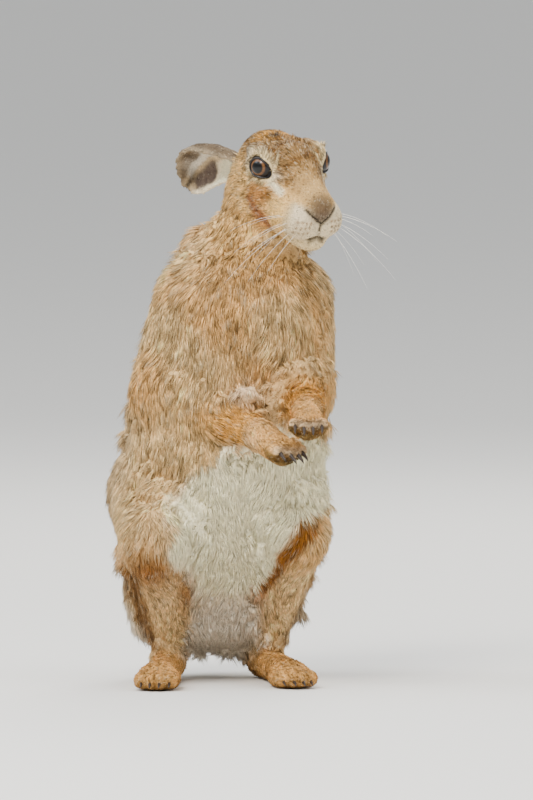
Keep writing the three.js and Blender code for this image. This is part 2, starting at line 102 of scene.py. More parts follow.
def head_axes():
    """The head's own forward, left and up."""
    forward = np.array([math.cos(HEAD_BOW) * math.sin(HEAD_TURN),
                        -math.cos(HEAD_BOW) * math.cos(HEAD_TURN), -math.sin(HEAD_BOW)])
    left = np.array([math.cos(HEAD_TURN), math.sin(HEAD_TURN), 0.0])
    up = np.cross(forward, left)
    c, s = math.cos(HEAD_TIP), math.sin(HEAD_TIP)
    return np.stack([forward, left * c + up * s, up * c + np.cross(forward, up) * s])


HEAD = head_axes()


def on_head(back, left, up):
    """A point of the head: back from the nose tip, to the hare's left, and up."""
    return NOSE_TIP + np.array([-back, left, up]) @ HEAD


def in_head(p):
    """Back, left and up of each point."""
    q = (p - NOSE_TIP) @ HEAD.T
    return -q[..., 0], q[..., 1], q[..., 2]


# The solids stand with the middle of their box on the origin, so one known point gives the step between
eye_low, eye_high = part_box("eye_right")
eye_middle = (np.array(eye_low) + np.array(eye_high)) / 2 / MM
SHIFT = on_head(EYE_AT[0], -EYE_AT[1], EYE_AT[2]) - eye_middle
SHIFT[2] = 0.0


def place(p):
    """From the animal's measures to the model's metres."""
    return (np.asarray(p) - SHIFT) * MM


def blend(a, b, k):
    """The nearer of two distances, filleted over about k millimetres where they meet."""
    h = np.maximum(k - np.abs(a - b), 0) / k
    return np.minimum(a, b) - h * h * k / 4


def blend_all(parts, k):
    """Several masses blended in turn."""
    total = parts[0]
    for part in parts[1:]:
        total = blend(total, part, k)
    return total


def ball(p, centre, radii):
    """How far each point lies outside an egg with these three radii."""
    q = p - np.asarray(centre, dtype=float)
    k0 = np.linalg.norm(q / radii, axis=-1)
    k1 = np.linalg.norm(q / np.square(radii), axis=-1)
    return np.where(k1 < 1e-9, -min(radii), k0 * (k0 - 1) / np.maximum(k1, 1e-9))


def limb(p, a, b, ra, rb):
    """How far each point lies outside a round-ended taper from a to b."""
    a = np.asarray(a, dtype=float)
    axis = np.asarray(b, dtype=float) - a
    t = np.clip((p - a) @ axis / (axis @ axis), 0, 1)
    return np.linalg.norm(p - a - t[..., None] * axis, axis=-1) - (ra + (rb - ra) * t)


def trunk_at(z):
    """The trunk's middle, half width, half depth and turn at each height, on one smooth curve."""
    levels = TRUNK_LEVELS
    n = len(levels)
    i = np.clip(np.searchsorted(levels[:, 0], z, side="right") - 1, 0, n - 2)
    p0, p1 = levels[np.maximum(i - 1, 0)], levels[i]
    p2, p3 = levels[i + 1], levels[np.minimum(i + 2, n - 1)]
    span = (p2[..., 0] - p1[..., 0])[..., None]
    t = np.clip((z - p1[..., 0]) / span[..., 0], 0, 1)[..., None]
    m1 = (p2 - p0) / (p2[..., 0] - p0[..., 0])[..., None] * span
    m2 = (p3 - p1) / (p3[..., 0] - p1[..., 0])[..., None] * span
    return ((2 * t**3 - 3 * t**2 + 1) * p1 + (t**3 - 2 * t**2 + t) * m1
            + (3 * t**2 - 2 * t**3) * p2 + (t**3 - t**2) * m2)


def trunk_field(p):
    """How far each point lies outside the trunk."""
    at = trunk_at(p[..., 2])
    turn = np.radians(at[..., 5])
    wide, deep = np.maximum(at[..., 3], 3), np.maximum(at[..., 4], 3)
    dx, dy = p[..., 0] - at[..., 1], p[..., 1] - at[..., 2]
    across = dx * np.cos(turn) + dy * np.sin(turn)
    along = -dx * np.sin(turn) + dy * np.cos(turn)
    side = (np.hypot(across / wide, along / deep) - 1) * np.minimum(wide, deep)
    return np.maximum(side, np.maximum(TRUNK_LEVELS[0, 0] - p[..., 2], p[..., 2] - TRUNK_LEVELS[-1, 0]))


def toes_of(side):
    """Roots and tips of the four toes of a hind foot."""
    part = LIMBS[side]
    pad, toe = np.array(part["ball"][:2], float), np.array(part["toe"], float)
    ahead = unit(toe - pad)
    across = np.array([-ahead[1], ahead[0]])
    reach = np.linalg.norm(toe - pad)
    made = []
    for step in (-1.5, -0.5, 0.5, 1.5):
        short = 6 if abs(step) > 1 else 0
        root = pad + across * step * 5
        tip = pad + across * step * 6.6 + ahead * (reach - 7.2 - short)
        made.append((np.array([*root, 7.2]), np.array([*tip, 7.2]), np.array([*ahead, 0.0])))
    return made


def fingers_of(side):
    """Roots, tips and downward sides of the four toes of a forepaw."""
    part = LIMBS[side]
    fingers = np.array(part["fingers"], float)
    ahead = unit(fingers - np.array(part["wrist"], float))
    across = unit(np.cross([0, 0, 1], ahead))
    down = np.cross(across, ahead)
    made = []
    for step in (-1.5, -0.5, 0.5, 1.5):
        short = 4 if abs(step) > 1 else 0
        root = fingers + across * step * 5.5
        made.append((root, root + across * step * 0.8 + ahead * (11 - short) - down * 3, ahead, down))
    return made


def crease_gap(p):
    """Distance to the nearest furrow between two toes."""
    near = np.full(len(p), 99.0)
    for side in SIDES:
        toes, fingers = toes_of(side), fingers_of(side)
        for i in range(3):
            root, tip = ((toes[i][k] + toes[i + 1][k]) / 2 for k in (0, 1))
            gap = limb(p[:, :2], (root + (tip - root) * 0.1)[:2], (tip + toes[i][2] * 7)[:2], 0, 0)
            near = np.minimum(near, np.where(p[:, 2] < 22, gap, 99.0))
            root, tip = ((fingers[i][k] + fingers[i + 1][k]) / 2 for k in (0, 1))
            near = np.minimum(near, limb(p, root, tip + fingers[i][2] * 6, 5.2, 5.2))
    return np.maximum(near, 0)


def face_line_gap(p):
    """Distance to the nearest of the nostril, lip and mouth lines, as seen from the front of the face."""
    b, l, u = in_head(p)
    flat = np.stack([np.abs(l), u], axis=1)
    near = np.full(len(p), 99.0)
    for a, c in FACE_LINES:
        near = np.minimum(near, np.where(b < max(a[0], c[0]) + 8, limb(flat, a[1:], c[1:], 0, 0), 99.0))
    return near


def face_field(p):
    """How far each point lies outside the head: skull, snout, nose, chin, cheeks and brows."""
    b, l, u = in_head(p)
    q = np.stack([-b, l, u], axis=-1)

    def round_(back, left, up, radii):
        return ball(q, (-back, left, up), radii)

    def taper(a, c, ra, rc):
        return limb(q, (-a[0], a[1], a[2]), (-c[0], c[1], c[2]), ra, rc)

    parts = [
        round_(84, 0, 10, (28, 24, 24)),
        round_(62, 0, 14, (30, 24, 19)),
        taper((50, 0, 20), (12, 0, 4), 15, 10),
        taper((55, 0, 0), (18, 0, -5), 24, 16),
        round_(7.5, 0, 1, (8, 10, 8)),
        round_(22, 1, -26, (16, 12, 9)),
    ]
    for s in (-1, 1):
        parts += [
            round_(14, s * 10, -10, (14, 12, 12)),
            round_(37, s * 10, -10, (24, 13, 17)),
            taper((76, s * 8, -16), (30, s * 3, -18), 16, 11),
            round_(70, s * 16, -4, (27, 14, 22)),
            round_(62, s * 20, 25, (16, 8, 7)),
        ]
    return blend_all(parts, 9)


def region_fields(p):
    """How far each point lies outside each region of the animal."""
    fields = {"trunk": trunk_field(p), "head": face_field(p)}
    for side in SIDES:
        part = LIMBS[side]
        fields["upper_arm_" + side] = limb(p, part["shoulder"], part["elbow"], 28, 24)
        fields["thigh_" + side] = limb(p, part["hip"], part["knee"], 46, 25)
        fields["shin_" + side] = limb(p, part["knee"], part["hock"], 24, 11)
        foot = limb(p, part["heel"], part["ball"], 12, 11)
        toes = blend_all([limb(p, a, c, 9.2, 7.2) for a, c, _ in toes_of(side)], 4)
        fields["foot_" + side] = foot
        fields["toes_" + side] = toes
        fields["forearm_" + side] = limb(p, part["elbow"], part["wrist"], 18.5, 11.5)
        paw = [limb(p, part["wrist"], part["fingers"], 12, 11.5)]
        paw += [limb(p, a, c, 7, 6) for a, c, _, _ in fingers_of(side)]
        fields["paw_" + side] = blend_all(paw, 4)
    fields["neck"] = limb(p, (21, -10, 288), on_head(90, -3, -16), 37, 28)
    fields["tail"] = limb(p, (17, 78, 60), (18, 92, 36), 24, 19)
    return fields


def flesh_field(p, fields=None):
    """How far each point lies outside the whole body, its regions blended."""
    f = fields or region_fields(p)
    body = [f["trunk"], f["neck"], f["tail"]]
    small = []
    for side in SIDES:
        body += [f[name + side] for name in ("thigh_", "shin_", "foot_", "upper_arm_", "forearm_")]
        small += [f["toes_" + side], f["paw_" + side]]
    whole = blend(blend_all(body, 16), f["head"], 16)
    return blend(whole, blend_all(small, 4), 6)


def slope(field, p, value, step=0.35):
    """Which way, and how fast, a field grows at each point."""
    return np.stack([(field(p + np.eye(3)[i] * step) - value) / step for i in range(3)], axis=-1)


# What grows where: coat depth, hair length, lift in degrees, hair width, tufts per square millimetre
COAT = {
    "trunk": (4.6, 12.0, 13, 0.66, 0.72),
    "upper_arm": (4.2, 11.0, 13, 0.66, 0.78),
    "thigh": (4.6, 11.5, 13, 0.66, 0.74),
    "shin": (2.6, 7.5, 13, 0.62, 1.0),
    "foot": (1.6, 4.6, 14, 0.5, 1.35),
    "toes": (1.3, 3.6, 14, 0.45, 1.6),
    "forearm": (2.2, 6.5, 14, 0.55, 1.15),
    "paw": (1.4, 3.8, 15, 0.45, 1.6),
    "neck": (3.4, 10.0, 14, 0.7, 0.95),
    "tail": (5.0, 12.5, 18, 0.8, 0.7),
    "head": (1.6, 5.4, 16, 0.52, 2.2),
    "ear": (0.5, 2.6, 13, 0.38, 1.3),
}
SKIN_CELL = 0.0023
SETTLE_PASSES = 5
SKIN_FLOOR, HAIR_FLOOR, BARE_SOLE = 0.6, 0.4, 1.2  # lowest skin, lowest hair, height of the bare soles
# Fine faces: how far back they go on the head and on the muzzle, and how far out from an eye
FACE_BACK, MUZZLE_BACK, EYE_REACH = 72, 15, 14.5
COAT_TUFTS = 245000
MOST_TUFTS = 32000  # in one piece, at six triangles each
TUFTS_PER_LOCK = 9
STRAY_SHARE = 0.012
SKIN_SHADE = 0.86  # painted shade under the coat: the skin is a little darker than the hair over it
FLOW = {
    "trunk": (0, 0.1, -1), "neck": (0, 0.35, -1), "tail": (0, 0.25, -1), "thigh": (0, 0.05, -1),
    "head": tuple(-HEAD[0] - HEAD[2] * 0.28),
}
FLOW_ALONG = {
    "upper_arm": ("shoulder", "elbow"), "forearm": ("elbow", "wrist"), "paw": ("wrist", "fingers"),
    "shin": ("knee", "hock"), "foot": ("heel", "ball"),
}


def flow_of(name, side):
    """The way the hair lies on a region."""
    if name in FLOW:
        return unit(FLOW[name])
    part = LIMBS[side]
    if name == "toes":
        return unit((*(np.array(part["toe"]) - np.array(part["ball"][:2])), -1))
    start, end = FLOW_ALONG[name]
    return unit(np.array(part[end], float) - np.array(part[start], float))


EARS = {
    "right": dict(base=(20, 0, 370), bend=(6, 60, 384), tip=(5, 96, 349), opening=(-0.8, -0.1, -0.6)),
    "left": dict(base=(41, 4, 373), bend=(50, 62, 380), tip=(56, 98, 356), opening=(0.8, 0.1, -0.6)),
}


def along_ear(p, side):
    """Share of the ear's length, the ear's direction, how far to the opening side, and across it."""
    part = EARS[side]
    steps = np.linspace(0, 1, 41)[:, None]
    a, b, c = (np.array(part[key], float) for key in ("base", "bend", "tip"))
    curve = (1 - steps) ** 2 * a + 2 * steps * (1 - steps) * b + steps**2 * c
    tangent = unit(2 * (1 - steps) * (b - a) + 2 * steps * (c - b))
    gap = np.linalg.norm(p[:, None, :] - curve[None], axis=-1)
    near = gap.argmin(axis=1)
    axis = tangent[near]
    opening = np.array(part["opening"], float)
    opening = unit(opening - (axis @ opening)[:, None] * axis)
    across = np.cross(axis, opening)
    offset = p - curve[near]
    return (steps[near, 0], axis, np.einsum("ij,ij->i", offset, opening),
            np.einsum("ij,ij->i", offset, across), gap.min(axis=1))


def weights_of(p, fields=None):
    """How much each point belongs to each region, and the mixed coat there."""
    fields = fields or region_fields(p)
    flesh = flesh_field(p, fields)
    names, pulls, flows, coats = [], [], [], []
    for key, value in fields.items():
        name, _, side = key.rpartition("_")
        if side not in SIDES:
            name, side = key, ""
        soft = 5.0 if name in ("trunk", "thigh", "upper_arm", "neck", "tail") else 2.6
        pulls.append(np.exp(-np.maximum(value, -7) / soft))
        flows.append(np.broadcast_to(flow_of(name, side), p.shape))
        coats.append(COAT[name])
        names.append(key)
    for side in SIDES:
        _, axis, _, _, _ = along_ear(p, side)
        mine = (p[:, 0] < EAR_PARTING) == (side == "right")
        pulls.append(np.where(mine, 40 * ramp(flesh, 0.6, 4.0), 0))
        flows.append(axis)
        coats.append(COAT["ear"])
        names.append("ear_" + side)
    pulls = np.stack(pulls, axis=1)
    pulls /= pulls.sum(axis=1, keepdims=True)
    flow = np.einsum("ij,ijk->ik", pulls, np.stack(flows, axis=1))
    return dict(zip(names, pulls.T)), flow, pulls @ np.array(coats, dtype=float)


# Nostril slit, the split of the lip and the mouth, on either side of the face: back, out and up
FACE_LINES = (
    ((-0.5, 1.0, -8.0), (4.5, 11.5, 2.0)),
    ((-1.0, 0.0, -8.0), (4.0, 0.0, -20.5)),
    ((4.0, 0.0, -20.5), (9.0, 7.0, -22.5)),
)
EYE_OUT = unit(np.array([0.52, 0.84, 0.13]))  # forward, outward and up, in the head's own frame


def eye_frame(side):
    """Middle of an eye, where it looks, its front direction and its top direction."""
    middle = on_head(EYE_AT[0], LATERAL[side] * EYE_AT[1], EYE_AT[2])
    out = np.array([EYE_OUT[0], EYE_OUT[1] * LATERAL[side], EYE_OUT[2]]) @ HEAD
    top = unit(HEAD[2] - out * (HEAD[2] @ out))
    front = np.cross(out, top)
    return middle, out, front * np.sign(front @ HEAD[0]), top


def eyelid_gap(s, t):
    """Millimetres outside the eye's opening: an almond, pointed and dropped at its front corner."""
    wide = np.where(s > 0, LID_FRONT, LID_BACK)
    tall = LID_TALL * np.sqrt(np.clip(1 - (s / wide) ** 2, 0.0, 1))
    dip = np.where(s > 0, LID_DIP * s, 0.0)
    over = np.abs(s) / wide - 1
    return np.where(over > 0, over * wide + 0.5, (np.abs(t - dip) - tall) * 0.8)


def sculpted(p, value):
    """The flesh with its eyelids, nostrils, mouth and toes worked in."""
    for side in SIDES:
        middle, out, front, top = eye_frame(side)
        q = p - middle
        r = np.linalg.norm(q, axis=-1)
        o, s, t = q @ out, q @ front, q @ top
        lid = np.where(o > -2, r - LID_RADIUS, 9.0)
        value = np.where(np.abs(value) < 30, blend(value, np.where(r < 30, lid, 9.0), 3.5), value)
        hollow = np.maximum(np.maximum(eyelid_gap(s, t), SOCKET_RADIUS - r), -o)
        value = np.maximum(value, -hollow)
    value = value + 1.3 * np.exp(-((face_line_gap(p) / 1.1) ** 2))
    value = value + 1.3 * np.exp(-((crease_gap(p) / 1.4) ** 2))
    return value


def skin_form(p):
    """Below zero inside the skin: the flesh less the depth of the coat."""
    fields = region_fields(p)
    flesh = flesh_field(p, fields)
    _, _, coat = weights_of(p, fields)
    b, _, _ = in_head(p)
    face = np.where(fields["head"] < 3, ramp(b, 8, 70), 1.0)
    return sculpted(p, flesh + coat[:, 0] * (0.35 + 0.65 * face))


def only(obj):
    """Make this the one selected and active object."""
    bpy.ops.object.select_all(action="DESELECT")
    obj.select_set(True)
    bpy.context.view_layer.objects.active = obj


def read_all(items, key, width, kind=np.float64):
    """One value of each item of a mesh, in rows."""
    flat = np.empty(len(items) * width, dtype=kind)
    items.foreach_get(key, flat)
    return flat.reshape(-1, width)


def skin_places(mesh):
    """The animal's own measures of each vertex."""
    return read_all(mesh.vertices, "co", 3) / MM + SHIFT


def link(name, mesh):
    """A new object in the scene."""
    obj = bpy.data.objects.new(name, mesh)
    bpy.context.collection.objects.link(obj)
    return obj


def face_outward(obj):
    """Turn all faces of a closed mesh outwards and shade it smooth."""
    only(obj)
    bpy.ops.object.mode_set(mode="EDIT")
    bpy.ops.mesh.select_all(action="SELECT")
    bpy.ops.mesh.normals_make_consistent(inside=False)
    bpy.ops.object.mode_set(mode="OBJECT")
    bpy.ops.object.shade_smooth()


def shaped_mesh(name, points, faces):
    """An object from points and faces."""
    mesh = bpy.data.meshes.new(name)
    mesh.from_pydata([tuple(v) for v in points], [], [tuple(f) for f in faces])
    return link(name, mesh)


def refine_face(skin):
    """Split the faces of the head's front once more, and those round the eyes, nose and mouth twice."""
    mesh = skin.data
    for fine in (False, True):
        q = read_all(mesh.polygons, "center", 3) / MM + SHIFT
        b, _, u = in_head(q)
        picked = (b < FACE_BACK) & (face_field(q) < 6) & (u > -34)
        if fine:
            eyes = [np.linalg.norm(q - eye_frame(side)[0], axis=1) < EYE_REACH for side in SIDES]
            picked &= (b < MUZZLE_BACK) | eyes[0] | eyes[1]
        only(skin)
        bpy.ops.object.mode_set(mode="EDIT")
        bpy.ops.mesh.select_mode(type="FACE")
        bpy.ops.mesh.select_all(action="DESELECT")
        bpy.ops.object.mode_set(mode="OBJECT")
        mesh.polygons.foreach_set("select", picked)
        bpy.ops.object.mode_set(mode="EDIT")
        bpy.ops.mesh.subdivide(number_cuts=1)
        bpy.ops.object.mode_set(mode="OBJECT")


FLESH = ("trunk", "neck", "head", "tail", "ear_", "forearm_", "forepaw_", "thigh_", "shin_", "hind_foot_")
flesh_nodes = [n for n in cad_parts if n.startswith(FLESH)]


def make_skin():
    """One seamless skin: the flesh solids joined, filled over at their cuts and worked to the soft form."""
    bpy.ops.object.select_all(action="DESELECT")
    copies = []
    for name in flesh_nodes:
        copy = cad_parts[name].copy()
        copy.data = copy.data.copy()
        copy.parent = None
        copy.name = "flesh_" + name
        bpy.context.collection.objects.link(copy)
        only(copy)
        bpy.ops.object.mode_set(mode="EDIT")
        bpy.ops.mesh.select_all(action="SELECT")
        bpy.ops.mesh.remove_doubles(threshold=1e-5)
        bpy.ops.mesh.normals_make_consistent(inside=False)
        bpy.ops.transform.shrink_fatten(value=0.0 if name.startswith("ear") else 0.0006)
        bpy.ops.object.mode_set(mode="OBJECT")
        copies.append(copy)
    bpy.ops.object.select_all(action="DESELECT")
    for copy in copies:
        copy.select_set(True)
    bpy.context.view_layer.objects.active = copies[0]
    bpy.ops.object.join()
    skin = copies[0]
    skin.name = skin.data.name = "skin"
    only(skin)
    remesh = skin.modifiers.new("fill", "REMESH")
    remesh.mode = "VOXEL"
    remesh.voxel_size = SKIN_CELL
    bpy.ops.object.modifier_apply(modifier="fill")
    smooth = skin.modifiers.new("settle", "SMOOTH")
    smooth.factor = 0.5
    smooth.iterations = 4
    bpy.ops.object.modifier_apply(modifier="settle")
    refine_face(skin)
    mesh = skin.data
    p = skin_places(mesh)
    ear = ramp(flesh_field(p), 1.2, 4.0)
    for _ in range(SETTLE_PASSES):
        value = skin_form(p)
        g = slope(skin_form, p, value)
        size = np.maximum(np.einsum("ij,ij->i", g, g), 0.25)
        move = np.clip(-value / size, -3.0, 3.0) * (1 - ear)
        p = p + g * move[:, None]
    p[:, 2] = np.maximum(p[:, 2], SKIN_FLOOR)
    mesh.vertices.foreach_set("co", place(p).ravel())
    mesh.update()
    fix = skin.modifiers.new("even", "SMOOTH")
    fix.factor = 0.3
    fix.iterations = 1
    bpy.ops.object.modifier_apply(modifier="even")
    bpy.ops.object.shade_smooth()
    return skin


# Colours of the coat, as the eye sees them
def tone(*rgb):
    """A colour as the eye counts it, from 0 to 255, made linear."""
    c = np.array(rgb, dtype=float) / 255
    return np.where(c <= 0.04045, c / 12.92, ((c + 0.055) / 1.055) ** 2.4)


BUFF = tone(222, 194, 154)
SAND = tone(212, 190, 160)
GREY_BROWN = tone(150, 124, 98)
UMBER = tone(104, 72, 44)
RUST = tone(194, 146, 98)
DARK_RUST = tone(140, 94, 58)
ORANGE = tone(210, 164, 112)
HIGHLIGHT_SAND = tone(228, 200, 160)
FOOT_TAN = tone(208, 168, 122)
CREAM = tone(255, 239, 212)
GROIN = tone(232, 222, 206)
BLUSH = tone(236, 214, 190)
EAR_BACK = tone(98, 85, 71)
EAR_LOBE = tone(92, 80, 74)
BLACK = tone(30, 24, 21)
NOSE_BROWN = tone(94, 80, 67)
SOLE_OLIVE = tone(108, 90, 62)

# Left and right bounds of the white belly at each height, measured across its own front
BELLY = np.array([
    [20, -26, 22], [31, -24, 21], [56, -17, 21], [67, -20, 20], [78, -29, 29], [89, -36, 39], [103, -39, 50],
    [117, -38, 58], [131, -37, 75], [146, -29, 84], [160, -16, 84], [175, 2, 78], [190, 20, 60],
], dtype=float)

rng = np.random.default_rng(20)
WAVES = unit(rng.normal(size=(3, 10, 3)))
PHASES = rng.uniform(0, 6.28, (3, 10))


def drift(p, size, kind=0):
    """A soft, repeatable unevenness between about -1 and 1, whose patches are about this many millimetres."""
    turns = p @ WAVES[kind].T / size * 6.28 / 2.2 + PHASES[kind]
    return np.sin(turns + 1.3 * np.sin(turns[:, ::-1] * 0.7)).sum(axis=1) / 3.2


def mix(a, b, t):
    """From a to b by a share of its own for each row."""
    return a + (np.asarray(b) - a) * t[:, None]


def richer(colour, amount=1.36):
    """The same lightness with its hue drawn out."""
    grey = colour.mean(axis=1, keepdims=True)
    return np.clip(grey + (colour - grey) * amount, 0.012, 0.95)


def capsule(p, a, c, width, soft):
    """One within this width of the line from a to c, fading to nothing over the soft edge."""
    return 1 - ramp(limb(p, a, c, width, width), 0.0, soft)


# The markings of the front are measured across and towards a front turned 18 degrees to the hare's left
FRONT_COS, FRONT_SIN = 0.951, 0.309


def markings(p, pulls):
    """The coat's colour at each point, for the skin and the hairs alike."""
    x, y, z = p.T
    across = FRONT_COS * x - FRONT_SIN * y
    front = -FRONT_SIN * x - FRONT_COS * y
    flat = np.stack([across, z], axis=1)
    wander, small = drift(p, 34), drift(p, 11, 1)
    both = {k: pulls[k + "_right"] + pulls[k + "_left"]
            for k in ("thigh", "shin", "foot", "toes", "forearm", "paw", "upper_arm")}

    def spot(at, sizes):
        q = (flat - np.array(at, float)) / np.array(sizes, float)
        return np.exp(-np.einsum("ij,ij->i", q, q)) * ramp(front, -45, -20)

    def band(a, c, width, soft):
        return capsule(flat, a, c, width, soft) * ramp(front, -60, -30)

    colour = np.tile(BUFF, (len(p), 1))

    def lay(shade, amount):
        nonlocal colour
        colour = mix(colour, shade, amount)

    rear = ramp(-front, 0, 60)
    lay(SAND, 0.7 * ramp(-front, -30, 30))
    lay(GREY_BROWN, 0.42 * rear * ramp(z, 60, 110))
    lay(RUST, 0.5 * ramp(z, 195, 235) * ramp(front, -8, 40) * ramp(wander, -0.9, 0.8))
    # painted highlight: the top of the trunk on the hare's right made paler, where the light falls from above
    # on that side
    lay(HIGHLIGHT_SAND, 0.5 * ramp(z, 268, 300) * (1 - ramp(across, -20, 10)))
    # painted shadow under the chin, laid over the dark rusty fur there
    lay(UMBER, 0.5 * spot((44, 306), (26, 11)))
    lay(RUST, 0.6 * both["upper_arm"] * ramp(front, -30, 20) * (1 - ramp(z, 215, 240)))
    flank = (both["thigh"] * (1 - ramp(z, 92, 128))) * ramp(front, -50, -10)
    lay(RUST, 0.6 * flank)

    low = np.interp(z, BELLY[:, 0], BELLY[:, 1]) + 3.5 * small
    high = np.interp(z, BELLY[:, 0], BELLY[:, 2]) + 1.5 * small
    turned = ramp(front, -48, -28)
    white = ramp(across, low - 5, low + 7) * (1 - ramp(across, high - 4, high + 5))
    flank_edge = np.interp(z, [110, 130, 160, 190], [-40, -40, -35, -22])
    white = white * ramp(front + 6 * small + 5 * wander - flank_edge, -9, 9)
    white = white * (1 - ramp(z + 5 * small, 172, 196))
    cheek_of_leg = (both["shin"] + both["thigh"]) * (1 - ramp(z, 100, 122))
    edge = ramp(across, high - 3, high + 3) * (1 - ramp(across, high + 8, high + 15))
    lay(ORANGE, 0.8 * ramp(across, high, high + 6) * cheek_of_leg * turned)
    lay(mix(np.tile(CREAM, (len(p), 1)), GROIN, 1 - ramp(z, 48, 76)), white)
    lay(BLUSH, 0.7 * spot((19, 212), (11, 11)))
    lay(GREY_BROWN, 0.35 * spot((36, 196), (14, 20)) * (1 - white))

    shin = np.clip(1.2 * both["shin"], 0, 1) * (1 - white)
    lay(tone(236, 208, 168), 0.95 * shin)
    # painted shadow: the leg's edge made dark rust where the long white belly hair hangs over it
    belly_overhang_shadow = edge * ramp(z, 56, 68) * (1 - ramp(z, 114, 128)) * turned
    lay(DARK_RUST, 0.95 * belly_overhang_shadow)
    # painted shade on the lower thigh, under the hare's right knee
    lay(DARK_RUST, 0.9 * spot((-50, 88), (19, 18)) * (1 - white))
    # painted shadow: dark lines in the gaps between the shins and the belly and haunches
    lay(DARK_RUST, 0.75 * spot((-25, 68), (7, 14)))
    lay(UMBER, 0.85 * band((-64, 82), (-49, 28), 2.5, 5))
    lay(UMBER, 0.75 * band((68, 74), (47, 30), 1.0, 5))
    beside = ramp(np.abs(x - 17 + 5 * wander), 40, 62)
    hock = ramp(-front, 20, 52) * (1 - ramp(z + 8 * small, 50, 96)) * beside
    hock_shade = mix(np.tile(GROIN, (len(p), 1)), GREY_BROWN, 0.3 * ramp(small, -0.2, 1))
    lay(hock_shade, hock * (1 - both["shin"]))
    under = (1 - ramp(z, 40, 78)) * (1 - ramp(np.abs(x - 10), 22, 40)) * (1 - both["shin"])
    lay(GROIN, under)
    tail = pulls["tail"]
    lay(CREAM, ramp(tail, 0.25, 0.6))
    back_of_tail = ramp(y, 84, 96) * ramp(z, 26, 40) * (1 - ramp(np.abs(x - 17.5 + 2 * small), 9, 15))
    lay(BLACK, 0.92 * back_of_tail * ramp(tail, 0.12, 0.4))

    lay(ORANGE, np.clip(both["forearm"] * 1.1, 0, 1))
    lay(RUST, 0.5 * both["forearm"] * ramp(small, 0.1, 0.9))
    lay(FOOT_TAN, np.clip(both["paw"], 0, 1))
    for side in SIDES:
        for _, tip, ahead, down in fingers_of(side):
            q = p - tip
            white_toe = np.exp(-np.square(np.linalg.norm(q - ahead * 3, axis=1) / 5.0))
            lay(CREAM, 0.85 * white_toe * both["paw"])
            sole = ramp(q @ down, -0.5, 3.0) * np.exp(-np.square(np.linalg.norm(q, axis=1) / 13))
            lay(SOLE_OLIVE, 0.95 * sole * both["paw"])
    foot = both["foot"] + both["toes"]
    lay(FOOT_TAN, np.clip(foot, 0, 1))
    # painted shade in the furrows between the toes
    lay(UMBER, 0.6 * np.exp(-((crease_gap(p) / 1.5) ** 2)) * (foot + both["paw"]))
    lay(UMBER, 0.4 * foot * (1 - ramp(z, 1, 6)))

    neck = pulls["neck"]
    lay(tone(224, 190, 142), 0.6 * neck)
    nape = ramp(z + 7 * small, 262, 300) * ramp(y, -10, 30)
    lay(tone(198, 158, 116), 0.6 * nape * (1 - pulls["head"]))
    colour = face_markings(p, colour, pulls["head"], small)
    streak = drift(p * np.array([1.0, 1.0, 0.28]), 8, 2) * (1 - 0.7 * both["shin"])
    coloured = (1 - ramp(colour.min(axis=1), 0.4, 0.62)) * (1 - pulls["head"])
    return richer(colour * (1 - 0.16 * streak * coloured)[:, None])


